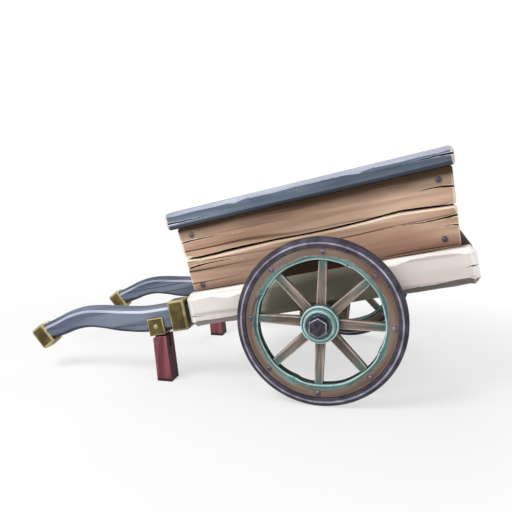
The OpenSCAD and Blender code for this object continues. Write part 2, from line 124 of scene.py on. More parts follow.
def worn_and_highlit_corners(tree, radius, nick_mm):
    """How far a corner is pale, partly rubbed and partly painted highlight: where the rounded normal leaves
    the true one, broken up by nicks.
    """
    soft = add(tree, "Bevel", {"Radius": radius}, samples=4).outputs["Normal"]
    true = add(tree, "NewGeometry").outputs["Normal"]
    turn = add(tree, "VectorMath", {0: soft, 1: true}, operation="DOT_PRODUCT").outputs["Value"]
    rub = add(tree, "MapRange", {"Value": turn, "From Min": 0.995, "From Max": 0.93}).outputs["Result"]
    place = add(tree, "TexCoord").outputs["Object"]
    nick = add(tree, "TexNoise", {"Vector": place, "Scale": 1000 / nick_mm, "Detail": 3.0}).outputs["Fac"]
    nick = add(tree, "MapRange", {"Value": nick, "From Min": 0.32, "From Max": 0.55}).outputs["Result"]
    return add(tree, "Math", {0: rub, 1: nick}, operation="MULTIPLY").outputs["Value"]


def grime_and_painted_shade(tree, tone, dirt_and_shade, reach, most=0.8):
    """Darkens a surface where a corner or a neighbour shelters it, by ambient occlusion: partly dirt, partly
    painted shade.
    """
    open_sky = add(tree, "AmbientOcclusion", {"Distance": reach}, samples=6).outputs["AO"]
    span = {"From Min": 0.2, "From Max": 0.9, "To Min": most, "To Max": 0.0}
    amount = add(tree, "MapRange", {"Value": open_sky, **span}).outputs["Result"]
    return add(tree, "Mix", {0: amount, 6: tone, 7: dirt_and_shade}, **COLOURS).outputs[2]


# how far a coat's ragged edge wanders
RAGGED = 0.03


def cover(tree, place, streaks, tone, coat):
    """Lays a coat, ragged along the streaks, over a tone. coat is (hex, direction, start, full): it takes
    over between two distances along the direction, or from the axle where the direction is None."""
    paint_over, direction, start, full = coat
    if direction is None:
        along = from_axle(tree, place)
    else:
        along = add(tree, "VectorMath", {0: place, 1: direction}, operation="DOT_PRODUCT").outputs["Value"]
    ragged = add(tree, "TexNoise", {"Vector": streaks, "Scale": 1.6, "Detail": 3.0}).outputs["Fac"]
    along = add(
        tree, "Math", {0: ragged, 1: 2 * RAGGED, 2: along}, operation="MULTIPLY_ADD"
    ).outputs["Value"]
    span = {"From Min": start + RAGGED, "From Max": full + RAGGED}
    share = add(tree, "MapRange", {"Value": along, **span}).outputs["Result"]
    return add(tree, "Mix", {0: share, 6: tone, 7: paint_over}, **COLOURS).outputs[2]


def from_axle(tree, place):
    """Distance of a point from the wheels' axis."""
    centred = add(tree, "Mapping", {"Vector": place, "Location": (-axle.x, 0, -axle.z), "Scale": (1, 0, 1)})
    return add(tree, "VectorMath", {0: centred.outputs["Vector"]}, operation="LENGTH").outputs["Value"]


# turn that brings the seam of a pattern round the wheel onto a joint of its rim, and its radius
SEAM_TURN = math.radians(-23.5)
ARC_RADIUS = 0.33


def round_wheel(tree, place, radial):
    """Grain of a wheel's timbers: along each spoke if radial, else along the rim's arcs."""
    centred = add(tree, "Mapping", {"Vector": place, "Location": (-axle.x, 0, -axle.z)}).outputs["Vector"]
    turned_back = add(tree, "Mapping", {"Vector": centred, "Rotation": (0, SEAM_TURN, 0)}).outputs["Vector"]
    part = add(tree, "SeparateXYZ", {"Vector": turned_back}).outputs
    angle = add(tree, "Math", {0: part["Z"], 1: part["X"]}, operation="ARCTAN2").outputs["Value"]
    arc = add(tree, "Math", {0: angle, 1: ARC_RADIUS}, operation="MULTIPLY").outputs["Value"]
    radius = from_axle(tree, place)
    ends = {"X": radius, "Z": arc} if radial else {"X": arc, "Z": radius}
    return add(tree, "CombineXYZ", {"Y": part["Y"], **ends}).outputs["Vector"]


# a wave pattern of scale 1 repeats every 314 mm
WAVE_MM = 314


def timber(
    name, face, light, dark, rubbed_highlight, split, turn=ALONG, streak_mm=60, line_mm=38, lines=0.7,
    rough=0.75, gloss=0.25, tint=None, rim=None, shade_coats=(), wheel_grain=None, reach=0.07,
    shelter=0.8, worn_highlight_radius=0.009,
):
    """Bare or painted timber. Broad streaks and thin dark lines run with the grain at real spacings;
    corners are pale, partly rubbed and partly painted edge highlight; tint is a second hue in large patches;
    rim is a coat under the pale corners, the other coats are painted shade laid over them, and sheltered
    places darken with dirt and painted shade."""
    made, tree, shader = new_material(name)
    place = add(tree, "TexCoord").outputs["Object"]
    if wheel_grain:
        grain = round_wheel(tree, place, wheel_grain == "spokes")
    else:
        grain = add(tree, "Mapping", {"Vector": place, "Rotation": turn}).outputs["Vector"]
    long = 1000 / streak_mm
    wide = add(tree, "Mapping", {"Vector": grain, "Scale": (0.1 * long, long, long)}).outputs["Vector"]
    streak = add(
        tree, "TexNoise", {"Vector": wide, "Scale": 1.0, "Detail": 2.5, "Distortion": 0.35}
    ).outputs["Fac"]
    tone = add(
        tree, "ValToRGB", {"Fac": streak}, ramp=[(0.34, dark), (0.5, face), (0.66, light)]
    ).outputs["Color"]
    if tint:
        cloud = add(tree, "Mapping", {"Vector": grain, "Scale": (1.3, 4.5, 4.5)}).outputs["Vector"]
        cloud = add(tree, "TexNoise", {"Vector": cloud, "Scale": 1.0, "Detail": 1.0}).outputs["Fac"]
        cloud = add(
            tree, "MapRange", {"Value": cloud, "From Min": 0.42, "From Max": 0.62}
        ).outputs["Result"]
        tone = add(tree, "Mix", {0: cloud, 6: tone, 7: tint}, blend_type="MULTIPLY", **COLOURS).outputs[2]
    # year lines: thin bands across both faces of the timber, which come and go
    bands = add(
        tree, "Mapping", {"Vector": grain, "Scale": (0.16, 1, 1), "Rotation": (0.7, 0, 0)}
    ).outputs["Vector"]
    band = add(
        tree, "TexWave",
        {"Vector": bands, "Scale": WAVE_MM / line_mm, "Distortion": 7.0, "Detail": 2.0, "Detail Scale": 0.55},
        bands_direction="Z",
    ).outputs["Fac"]
    gate = add(tree, "TexNoise", {"Vector": wide, "Scale": 0.55, "Detail": 1.0}).outputs["Fac"]
    gate = add(
        tree, "MapRange", {"Value": gate, "From Min": 0.43, "From Max": 0.55, "To Max": lines}
    ).outputs["Result"]
    line = add(tree, "MapRange", {"Value": band, "From Min": 0.93, "From Max": 0.993}).outputs["Result"]
    line = add(tree, "Math", {0: line, 1: gate}, operation="MULTIPLY").outputs["Value"]
    tone = add(tree, "Mix", {0: line, 6: tone, 7: split}, **COLOURS).outputs[2]
    if rim:
        tone = cover(tree, place, wide, tone, rim)
    # corners turn pale, partly with wear and partly as painted edge highlight
    worn = worn_and_highlit_corners(tree, worn_highlight_radius, 26)
    tone = add(tree, "Mix", {0: worn, 6: tone, 7: rubbed_highlight}, **COLOURS).outputs[2]
    # coats of painted shade laid over the pale corners
    for coat in shade_coats:
        tone = cover(tree, place, wide, tone, coat)
    # sheltered places darken by ambient occlusion: dirt and painted shade
    tone = grime_and_painted_shade(tree, tone, split, reach, shelter)
    height = add(tree, "Math", {0: line, 1: -1.2, 2: streak}, operation="MULTIPLY_ADD").outputs["Value"]
    bump = add(tree, "Bump", {"Height": height, "Strength": 0.4, "Distance": 0.003}).outputs["Normal"]
    tree.links.new(tone, shader.inputs["Base Color"])
    tree.links.new(bump, shader.inputs["Normal"])
    shader.inputs["Roughness"].default_value = rough
    shader.inputs["Specular IOR Level"].default_value = gloss
    return made


# painted shade on the beams and planks behind each wheel, where the wheel shelters them
beam_wheel_shade = ("7F7B6C", None, 0.350, 0.285)
wash_look = dict(streak_mm=140, line_mm=90, rough=0.85, shade_coats=(beam_wheel_shade,))
limewash = timber(
    "limewash", "E0D7D2", "ECE5E1", "CFC5C0", "FCF8F5", "7C706A", lines=0.35, tint="EFEAE9", reach=0.11,
    **wash_look
)
limewash_rubbed_highlit = timber(
    "limewash_rubbed_highlit", "F7F1ED", "FDFAF7", "E4DAD5", "FFFDFB", "9A8E86", lines=0.2, **wash_look
)
limewash_painted_shade = timber(
    "limewash_painted_shade", "968D88", "ACA39D", "7B736F", "CFC6C0", "3C3632", lines=0.35, **wash_look
)
split_wood = timber("split_wood", "42301F", "544030", "2C2018", "5E4936", "1C140E", line_mm=12, rough=0.9)

# how near a place a point lies to count as on it
CLOSE = 1e-4


def only(piece):
    """Makes a piece the one selected and active object."""
    bpy.ops.object.select_all(action="DESELECT")
    piece.select_set(True)
    bpy.context.view_layer.objects.active = piece


def edit(piece, keep, *steps, what="VERT"):
    """Selects the vertices, edges or faces that keep accepts by their points, then runs the steps."""
    only(piece)
    bpy.ops.object.mode_set(mode="EDIT")
    bpy.ops.mesh.select_mode(type=what)
    bpy.ops.mesh.select_all(action="DESELECT")
    bpy.ops.object.mode_set(mode="OBJECT")
    mesh = piece.data
    if what == "VERT":
        for vertex in mesh.vertices:
            vertex.select = keep([vertex.co])
    else:
        for part in mesh.edges if what == "EDGE" else mesh.polygons:
            part.select = keep([mesh.vertices[i].co for i in part.vertices])
    bpy.ops.object.mode_set(mode="EDIT")
    for step in steps:
        step()
    bpy.ops.object.mode_set(mode="OBJECT")


def anything(points):
    """Accepts every part of a piece."""
    return True


def chamfer(piece, keep, width, segments=1, slot=-1):
    """Cuts off or rounds the edges that keep accepts; the new strips may take a slot."""
    edit(
        piece, keep,
        lambda: bpy.ops.mesh.bevel(offset=width, segments=segments, material=slot, affect="EDGES"),
        what="EDGE",
    )


def block(name, low, high, *materials):
    """A cube primitive at its size and place."""
    bpy.ops.object.select_all(action="DESELECT")
    middle = [(a + b) / 2 for a, b in zip(low, high)]
    bpy.ops.mesh.primitive_cube_add(size=1, location=middle, scale=[b - a for a, b in zip(low, high)])
    piece = bpy.context.active_object
    piece.name = piece.data.name = name
    bpy.ops.object.transform_apply(location=True, rotation=True, scale=True)
    dress(piece, *materials)
    return piece


def dress(piece, *materials):
    """Gives a piece its material slots: its face first, then its pale corners, partly rubbed and partly
    painted highlight.
    """
    piece.data.materials.clear()
    for made in materials:
        piece.data.materials.append(made)


def paint(piece, made, keep):
    """Gives one of its materials to the faces that keep accepts by their middle and normal."""
    slot = piece.data.materials.find(made.name)
    for face in piece.data.polygons:
        if keep(face.center, face.normal):
            face.material_index = slot


def cut_across(piece, stations, axis=(1, 0, 0)):
    """Adds a loop round the piece at each place along the axis."""
    for place in stations:
        point = [place * a for a in axis]
        edit(piece, anything, lambda: bpy.ops.mesh.bisect(plane_co=point, plane_no=axis))


def finish(piece, kind, **settings):
    """Adds a modifier and applies it."""
    only(piece)
    modifier = piece.modifiers.new(kind.title(), kind)
    for key, value in settings.items():
        setattr(modifier, key, value)
    bpy.ops.object.modifier_apply(modifier=modifier.name)


def soften(piece, width, segments=2, angle=30, slot=-1, shortest=0.003, keep=anything):
    """Rounds the corners that are sharper than an angle, longer than the shortest and accepted by keep; the
    new strips may take a slot."""
    mesh = piece.data
    sides = {}
    for face in mesh.polygons:
        for key in face.edge_keys:
            sides.setdefault(key, []).append(face.normal.copy())
    weight = mesh.attributes.new("bevel_weight_edge", "FLOAT", "EDGE")
    for edge in mesh.edges:
        pair = sides.get(edge.key, [])
        ends = [mesh.vertices[i].co for i in edge.key]
        sharp = len(pair) == 2 and pair[0].angle(pair[1], 0) > math.radians(angle)
        if sharp and (ends[0] - ends[1]).length > shortest and keep(ends):
            weight.data[edge.index].value = 1.0
    finish(piece, "BEVEL", width=width, segments=segments, limit_method="WEIGHT", material=slot)
    spent = piece.data.attributes.get("bevel_weight_edge")
    if spent:
        piece.data.attributes.remove(spent)


def carve(piece, tool):
    """Cuts a tool out of a piece; the cut takes the tool's material. The tool is used up, and a piece that
    the cut would leave empty stays whole."""
    whole = piece.data.copy()
    finish(piece, "BOOLEAN", operation="DIFFERENCE", object=tool, solver="EXACT", material_mode="TRANSFER")
    if len(piece.data.polygons) == 0:
        piece.data = whole
    else:
        bpy.data.meshes.remove(whole)
    bpy.data.objects.remove(tool)


def wedge(start, inward, length, width, depth, wave, seed, made):
    """A tapering, wandering wedge from a timber's end inwards along X; its width is in Z, its depth in Y."""
    bpy.ops.object.select_all(action="DESELECT")
    bpy.ops.mesh.primitive_cone_add(vertices=4, radius1=1, radius2=0, depth=1, location=(0, 0, 0.5))
    tool = bpy.context.active_object
    bpy.ops.object.transform_apply(location=True)
    tool.data.transform(Matrix.Rotation(math.radians(90 * inward), 4, "Y"))
    tool.data.transform(Matrix.Diagonal((length, depth, width / 2, 1)))
    rng = random.Random(seed)
    stations = [inward * length * i / 6 for i in range(1, 6)]
    cut_across(tool, stations)
    for place in stations:
        lift = wave * math.sin(abs(place) / length * 3.3) + rng.uniform(-0.002, 0.002)
        for vertex in tool.data.vertices:
            if abs(vertex.co.x - place) < CLOSE:
                vertex.co.z += lift
    tool.data.transform(Matrix.Translation(start))
    dress(tool, made)
    return tool


# share of a split's length that its pale groove has, how much wider and how deep the groove is, and how far
# the tools that cut them start past the timber's end
groove_part = 0.7
groove_lip = 0.008
groove_depth = 0.0045
past_end = 0.002


def split(piece, start, inward, length, mouth, wave, seed, lip, depth=0.03):
    """A drying split from a timber's end: a shallow groove, pale partly with wear and partly as painted
    highlight, and a dark crack down its middle.
    """
    groove = wedge(start, inward, groove_part * length, mouth + groove_lip, groove_depth, wave, seed, lip)
    carve(piece, groove)
    carve(piece, wedge(start, inward, length, mouth, depth, wave, seed, split_wood))


def split_ends(piece, low, high, face_y, splits, seed, step, lip):
    """Splits in a timber's ends, each (-1 front or 1 back, height, length, mouth, wander)."""
    for number, (end, height, length, mouth, wander) in enumerate(splits):
        start = ((high.x if end > 0 else low.x) + end * past_end, face_y, height)
        split(piece, start, -end, length, mouth, wander, seed + step * number, lip)


def carry(piece, place):
    """Moves a piece's mesh by a matrix and keeps its faces pointing outwards."""
    piece.data.transform(place)
    if place.determinant() < 0:
        edit(piece, anything, lambda: bpy.ops.mesh.flip_normals())


def settle(piece, place, body, slot, *nodes, smooth=32):
    """Carries a finished piece from its own frame into the cart and ties it to its body."""
    carry(piece, place)
    only(piece)
    bpy.ops.object.shade_smooth_by_angle(angle=math.radians(smooth))
    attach(piece, body)
    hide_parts(*nodes)
    return piece


def hew(piece, stations, rng, low, high, reach, dent):
    """Axe facets: at each station the corner facets wander by up to reach and the faces by up to dent."""
    cut_across(piece, stations)
    middle = (low + high) / 2
    for place in stations:
        for vertex in piece.data.vertices:
            if abs(vertex.co.x - place) > CLOSE:
                continue
            inner = middle - vertex.co
            if min(abs(vertex.co.y - low.y), abs(vertex.co.y - high.y)) < CLOSE:
                vertex.co.z += math.copysign(rng.uniform(0, reach), inner.z)
                vertex.co.y += math.copysign(rng.uniform(0, dent), inner.y)
            else:
                vertex.co.y += math.copysign(rng.uniform(0, reach), inner.y)
                vertex.co.z += math.copysign(rng.uniform(0, dent / 2), inner.z)


# places along a beam where the axe changed course, and how far the top outer facet comes down there
facet_edge = [
    (-0.66, 0.034), (-0.56, 0.027), (-0.47, 0.049), (-0.40, 0.038), (-0.28, 0.030), (-0.15, 0.042),
    (-0.03, 0.032), (0.10, 0.040), (0.24, 0.026), (0.38, 0.028), (0.455, 0.012), (0.55, 0.008),
    (0.64, 0.015), (0.70, 0.028),
]
facet = 0.028
axe_reach = 0.012
axe_dent = 0.007
beam_splits = [(1, 0.088, 0.075, 0.012, 0.003), (-1, 0.060, 0.12, 0.007, -0.004)]
for side, s in SIDES.items():
    rng = random.Random(11 + s)
    low, high = measure("beam_" + side, chassis @ across(s))
    beam = block("hewn_beam_" + side, low, high, limewash, limewash_rubbed_highlit, limewash_painted_shade)
    chamfer(beam, anything, facet, slot=1)
    hew(beam, [x for x, drop in facet_edge], rng, low, high, axe_reach, axe_dent)
    for x, drop in facet_edge:
        for vertex in beam.data.vertices:
            on_top_facet = vertex.co.y > high.y - 0.009 and vertex.co.z > high.z - 2 * facet
            if abs(vertex.co.x - x) < CLOSE and on_top_facet:
                vertex.co.z = high.z - drop - (rng.uniform(-0.004, 0.004) if s > 0 else 0)
    split_ends(beam, low, high, high.y, beam_splits, 5 + s, 2, limewash_rubbed_highlit)
    # the downward faces are painted darker as shade
    paint(beam, limewash_painted_shade, lambda at, normal: normal.z < -0.35)
    soften(beam, 0.003, angle=14)
    settle(beam, chassis @ across(s), "cart", "cream_paint", "beam_" + side, smooth=3)
beam_h = high.z

# ---- Crossbars ----
# Three bars tie the beams together and carry the floor. The tail bar is limewashed like the beams and bored
# for a drag chain; the other two are bare, greyed softwood, sawn square.

grey_wood_look = dict(rough=0.85, streak_mm=50, line_mm=30)
grey_wood_across = timber(
    "greyed_softwood_across", "74675A", "8F806F", "54493F", "AB9A84", "2E2721", turn=ACROSS,
    **grey_wood_look
)
grey_wood_across_rubbed_highlit = timber(
    "greyed_softwood_across_rubbed_highlit", "978673", "AD9C86", "786959", "BBA992", "40362D", turn=ACROSS,
    **grey_wood_look
)


def take(node, name, place, *materials):
    """A CAD node's solids as a new piece in its own frame, merged back into clean flat faces."""
    piece = bpy.data.objects.new(name, frame["nodes"][node].data.copy())
    bpy.context.scene.collection.objects.link(piece)
    only(piece)
    bpy.ops.mesh.customdata_custom_splitnormals_clear()
    edit(
        piece, anything,
        lambda: bpy.ops.mesh.remove_doubles(threshold=0.00002),
        lambda: bpy.ops.mesh.dissolve_limited(angle_limit=math.radians(0.4)),
    )
    dress(piece, *materials)
    carry(piece, place.inverted())
    return piece


limewash_across = timber(
    "limewash_across", "E0D7D2", "ECE5E1", "CFC5C0", "FCF8F5", "7C706A",
    turn=ACROSS, streak_mm=140, line_mm=90, rough=0.85, lines=0.35, tint="EFEAE9", reach=0.11,
)
for node, finish_pair, slot, width in (
    ("front_crossbar", (grey_wood_across, grey_wood_across_rubbed_highlit), "frame_wood", 0.005),
    ("axle_crossbar", (grey_wood_across, grey_wood_across_rubbed_highlit), "frame_wood", 0.005),
    ("tail_crossbar", (limewash_across, limewash_rubbed_highlit, split_wood), "cream_paint", 0.006),
):
    bar = take(node, "sawn_" + node, chassis, *finish_pair)
    soften(bar, width, slot=1)
    if node == "tail_crossbar":
        # its top is painted dark as shade, where the box shelters it
        paint(bar, split_wood, lambda at, normal: normal.z > 0.5)
    settle(bar, chassis, "cart", slot, node)

# ---- Floor boards ----
# Softwood boards lie along the cart on the crossbars, scuffed dark by loads. Two nails hold each board to
# each crossbar, their flat heads driven almost flush.

floor_wood = timber(
    "scuffed_softwood", "8E765F", "A88E73", "655140", "BBA080", "38291E", streak_mm=70, tint="D8CCC4"
)
floor_wood_rubbed_highlit = timber(
    "scuffed_softwood_rubbed_highlit", "AB9177", "C0A789", "846D57", "CDB594", "45352A", streak_mm=70
)


def metal(
    name, face, light, dark, rubbed_highlight, dirt_and_shade, rough, metallic=1.0, blotch_mm=40, hammer_mm=12, dent=0.6,
    gloss=0.4,
):
    """Worked metal: blotches of tarnish, hammer dents, corners pale partly with wear and partly as painted
    highlight, dirt and painted shade in sheltered places.
    """
    made, tree, shader = new_material(name)
    place = add(tree, "TexCoord").outputs["Object"]
    blotch = add(
        tree, "TexNoise", {"Vector": place, "Scale": 1000 / blotch_mm, "Detail": 3.0}
    ).outputs["Fac"]
    tone = add(
        tree, "ValToRGB", {"Fac": blotch}, ramp=[(0.36, dark), (0.5, face), (0.66, light)]
    ).outputs["Color"]
    # corners turn pale, partly with wear and partly as painted edge highlight
    worn = worn_and_highlit_corners(tree, 0.004, 18)
    tone = add(tree, "Mix", {0: worn, 6: tone, 7: rubbed_highlight}, **COLOURS).outputs[2]
    # sheltered places darken by ambient occlusion: dirt and painted shade
    tone = grime_and_painted_shade(tree, tone, dirt_and_shade, 0.04)
    hammered = add(
        tree, "TexNoise", {"Vector": place, "Scale": 1000 / hammer_mm, "Detail": 1.0}
    ).outputs["Fac"]
    bump = add(tree, "Bump", {"Height": hammered, "Strength": dent, "Distance": 0.0015}).outputs["Normal"]
    span = {"From Min": 0.35, "From Max": 0.65, "To Min": rough + 0.12, "To Max": rough - 0.08}
    uneven = add(tree, "MapRange", {"Value": blotch, **span}).outputs["Result"]
    tree.links.new(tone, shader.inputs["Base Color"])
    tree.links.new(bump, shader.inputs["Normal"])
    tree.links.new(uneven, shader.inputs["Roughness"])
    shader.inputs["Metallic"].default_value = metallic
    shader.inputs["Specular IOR Level"].default_value = gloss
    return made


black_iron = metal("forged_iron", "46424F", "625E6C", "302D37", "9A95A8", "1D1B22", 0.5, 0.5)
bright_iron = metal("forged_iron_rubbed_highlit", "8C889B", "AAA6BA", "686475", "C6C2D4", "3A3742", 0.42, 0.7)


def nail(place, radius, proud, facets=10):
    """One domed nail head that stands out of a face along +Y."""
    bpy.ops.object.select_all(action="DESELECT")
    bpy.ops.mesh.primitive_uv_sphere_add(segments=facets, ring_count=6, radius=1, location=place)
    head = bpy.context.active_object
    head.rotation_euler = (math.pi / 2, 0, 0)
    head.scale = (radius, radius, proud)
    bpy.ops.object.transform_apply(location=True, rotation=True, scale=True)
    return head


def join(name, pieces, *materials):
    """Makes one piece of several."""
    bpy.ops.object.select_all(action="DESELECT")
    for piece in pieces:
        piece.select_set(True)
    bpy.context.view_layer.objects.active = pieces[0]
    bpy.ops.object.join()
    pieces[0].name = pieces[0].data.name = name
    if materials:
        dress(pieces[0], *materials)
    return pieces[0]


boards = take("floor_boards", "nailed_floor_boards", chassis, floor_wood, floor_wood_rubbed_highlit)
soften(boards, 0.004, slot=1)
settle(boards, chassis, "cart", "plank_wood", "floor_boards")

floor_low, floor_high = measure("floor_boards", chassis)
board_n = 5
board_w = (floor_high.y - floor_low.y) / board_n
floor_nail_r = 0.006
floor_nail_proud = 0.0018
heads = []
for x in (floor_low.x + 0.024, 0.0, floor_high.x - 0.014):
    for i in range(board_n):
        for edge in (0.22, 0.78):
            # a nail stands along +Y, so the row is laid out on end and then turned up
            place = (x, floor_high.z, -floor_low.y - (i + edge) * board_w)
            heads.append(nail(place, floor_nail_r, floor_nail_proud, 8))
heads = join("floor_nail_heads", heads, black_iron)
carry(heads, Matrix.Rotation(math.pi / 2, 4, "X"))
settle(heads, chassis, "cart", "black_iron")

# ---- Side planks ----
# Each side is two wide sawn planks with an open, wandering seam between them, its faces painted dark as
# shade. The bare softwood has dried and split inwards from both ends, and its corners are pale, partly rubbed
# and partly painted highlight. A domed nail holds each end to a post.

# half the box's width and half its length at the bottom, the sides' lean, their height over the axle, the
# rise of their top edge, and the share of that height below the seam
box_y = 0.440
box_front = 0.669
flare = math.radians(3)
side_h = 0.364
side_rise = math.radians(1.8)
seam_part = 0.52

# painted shade behind the wheel, and painted shade under the cap rail's overhang, measured square to the rail
plank_wheel_shade = ("1D140E", None, 0.362, 0.300)
rail_up = chassis.to_3x3() @ Vector((-math.sin(side_rise / 2), 0, math.cos(side_rise / 2)))
rail_under = min(point.dot(rail_up) for point in measured("cap_rail_left", Matrix.Identity(4)))
rail_overhang_shade = ("463324", rail_up, rail_under - 0.072, rail_under - 0.012)
plank_look = dict(streak_mm=75, line_mm=36, shade_coats=(plank_wheel_shade, rail_overhang_shade), worn_highlight_radius=0.004)
plank_wood = timber(
    "dry_softwood", "BB9B85", "D0B39B", "A1836F", "EFD8BC", "4A3021", lines=1.0, tint="E6DAD8", **plank_look
)
plank_wood_rubbed_highlit = timber(
    "dry_softwood_rubbed_highlit", "E4CAAE", "F2DFC8", "CDB093", "FAEBD6", "6E523C", lines=0.45, **plank_look
)
plank_inside = timber(
    "dry_softwood_inside", "A88A75", "BFA38B", "8E725F", "DCC4A8", "4A3021", streak_mm=75, line_mm=36,
    lines=0.8,
)


def side_frame(s):
    """Frame of a side wall: outer face at Y 0, its bottom edge at Z 0."""
    return chassis @ across(s) @ Matrix.Translation((0, box_y, beam_h)) @ Matrix.Rotation(-flare, 4, "X")


def seam_at(x):
    """Height of the straight seam between the two planks."""
    return seam_part * (side_h + x * math.tan(side_rise))


def seam_edge(ends):
    """Accepts the edges that run along the seam."""
    return all(abs(p.z - seam_at(p.x)) < 0.045 for p in ends) and abs(ends[0].x - ends[1].x) > 0.02


def seam_lip(ends):
    """Accepts the lower plank's outer edges at the seam."""
    return all(p.y > -0.002 and p.z > seam_at(p.x) - 0.02 for p in ends)


def end_corner(ends):
    """Accepts the edges through the plank's thickness at its ends."""
    return all(abs(p.x) > 0.62 for p in ends) and abs(ends[0].y - ends[1].y) > 0.02


# places along the seam, its rise over a straight line, and half its gap
seam = [
    (-0.60, -0.006, 0.007), (-0.51, -0.004, 0.008), (-0.43, 0.000, 0.009), (-0.36, 0.002, 0.009),
    (-0.27, 0.004, 0.007), (-0.17, 0.006, 0.006), (-0.06, 0.004, 0.005), (0.05, 0.003, 0.005),
    (0.16, 0.005, 0.006), (0.27, 0.009, 0.005), (0.36, 0.015, 0.005), (0.44, 0.019, 0.006),
    (0.52, 0.014, 0.007), (0.61, 0.007, 0.006),
]

# drying splits, as split_ends takes them
plank_splits = {
    "lower": [
        (-1, 0.123, 0.36, 0.010, 0.016), (1, 0.152, 0.33, 0.012, -0.010), (1, 0.098, 0.11, 0.007, 0.012),
    ],
    "upper": [(-1, 0.262, 0.38, 0.008, 0.010), (1, 0.285, 0.22, 0.012, 0.010)],
}
# widths of the pale corners, partly rubbed and partly painted highlight; the seam opens only outside the
# middle of the planks' thickness
rubbed_highlit_w = 0.011
seam_rub_highlit = 0.012
end_corner_r = 0.014
plank_mid = -0.015
split_face = -0.002
plank_nails = ((-0.614, 0.298), (-0.615, 0.029), (0.641, 0.330), (0.623, 0.047))
plank_nail_r = 0.0155
plank_nail_proud = 0.010
# the right side's seam and chips wander less than the left's
WANDER = {"left": 1.0, "right": 0.6}

for side, s in SIDES.items():
    for level, away in (("lower", -1), ("upper", 1)):
        node = "side_" + level + "_" + side
        name = "split_plank_" + level + "_" + side
        plank = take(node, name, side_frame(s), plank_wood, plank_wood_rubbed_highlit, split_wood, plank_inside)
        cut_across(plank, [x for x, rise, gap in seam])
        for x, rise, gap in seam:
            for vertex in plank.data.vertices:
                if abs(vertex.co.x - x) < CLOSE and abs(vertex.co.z - seam_at(x)) < 0.02:
                    open_by = gap if vertex.co.y > plank_mid else 0
                    vertex.co.z = seam_at(x) + rise * WANDER[side] + away * open_by
        # the faces inside the seam are painted dark as shade
        paint(
            plank, split_wood,
            lambda at, normal: abs(normal.z) > 0.5 and abs(at.z - seam_at(at.x)) < 0.04,
        )
        paint(plank, plank_inside, lambda at, normal: normal.y < -0.9)
        chamfer(plank, end_corner, end_corner_r, segments=3)
        if level == "lower":
            chamfer(plank, seam_lip, seam_rub_highlit, segments=2, slot=1)
        soften(plank, rubbed_highlit_w, segments=3, angle=50, slot=1, keep=lambda ends: not seam_edge(ends))
        low, high = measure(node, side_frame(s))
        split_ends(plank, low, high, split_face, plank_splits[level], 31 + s, 5, plank_wood_rubbed_highlit)
        settle(plank, side_frame(s), "cart", "plank_wood", node)
    nails = [nail((x, 0, z), plank_nail_r, plank_nail_proud, 7) for x, z in plank_nails]
    nails = join("plank_nails_" + side, nails, black_iron)
    settle(nails, side_frame(s), "cart", "black_iron", smooth=10)

# ---- End planks ----
# The front wall and the fixed tailboard are two planks each, cut between the sides and nailed to the corner
# posts. They are the same dry softwood, with their grain across the cart.

across_look = dict(turn=ACROSS, streak_mm=75, line_mm=40, reach=0.12, shelter=0.9)
plank_across = timber(
    "dry_softwood_across", "B3937B", "C8AA90", "8E725E", "E6CEB0", "4A3021", lines=0.85, tint="E4D6D0",
    **across_look
)
plank_across_rubbed_highlit = timber(
    "dry_softwood_across_rubbed_highlit", "DABF9F", "E9D2B4", "C0A384", "F4E2C8", "6E523C", lines=0.5, **across_look
)
for end in ("front", "tail"):
    for level in ("lower", "upper"):
        node = end + "_" + level
        plank = take(node, "end_plank_" + node, chassis, plank_across, plank_across_rubbed_highlit)
        soften(plank, 0.006, angle=35, slot=1)
        settle(plank, chassis, "cart", "plank_wood", node)

# ---- Posts and battens ----
# Square posts stand in the box's corners and two battens stiffen each side from inside. They are bare
# greyed softwood, and the planks are nailed to them.

grey_wood_upright = timber(
    "greyed_softwood_upright", "7A6C5E", "968674", "594D42", "B0A08A", "2E2721", turn=UPRIGHT,
    **grey_wood_look
)
grey_wood_upright_rubbed_highlit = timber(
    "greyed_softwood_upright_rubbed_highlit", "9C8B78", "B2A18B", "7C6D5D", "C0AF98", "40362D", turn=UPRIGHT,
    **grey_wood_look
)
for node in ("corner_posts", "side_battens"):
    posts = take(node, "nailed_" + node, chassis, grey_wood_upright, grey_wood_upright_rubbed_highlit)
    soften(posts, 0.004, slot=1)
    settle(posts, chassis, "cart", "frame_wood", node)

# ---- Cap rails ----
# A heavy rail caps each side. It is painted blue-grey; the top outer corner is planed to a bevel whose
# lower edge is chipped in two places, and the ends are split and rubbed back to pale wood.

blue_look = dict(streak_mm=90, line_mm=55, lines=0.45, rough=0.6, gloss=0.35)
blue_paint = timber(
    "blue_grey_paint", "6B7888", "85919F", "515C6B", "9CA6B6", "26272F", tint="DCE0E4", **blue_look
)
blue_paint_rubbed_highlit = timber(
    "blue_grey_paint_rubbed_highlit", "ACB0C0", "D8D9E3", "858DA0", "E8E8F0", "4A4A58", **blue_look
)
blue_paint_shaded = timber(
    "blue_grey_paint_painted_shade", "353A45", "474D59", "23262E", "5E6470", "14151A", **blue_look
)
pale_end = timber(
    "rubbed_rail_end", "D9C3B8", "E9D8CE", "BBA49A", "F4E8E0", "5A4640", streak_mm=40, line_mm=20, lines=0.4
)

# widths of the planed bevel, the rounded underside and the rounded ends
bevel_w = 0.014
underside_w = 0.020
end_round = 0.012
rail_splits = [(-1, 0.036, 0.26, 0.010, -0.003), (1, 0.052, 0.24, 0.010, 0.003)]
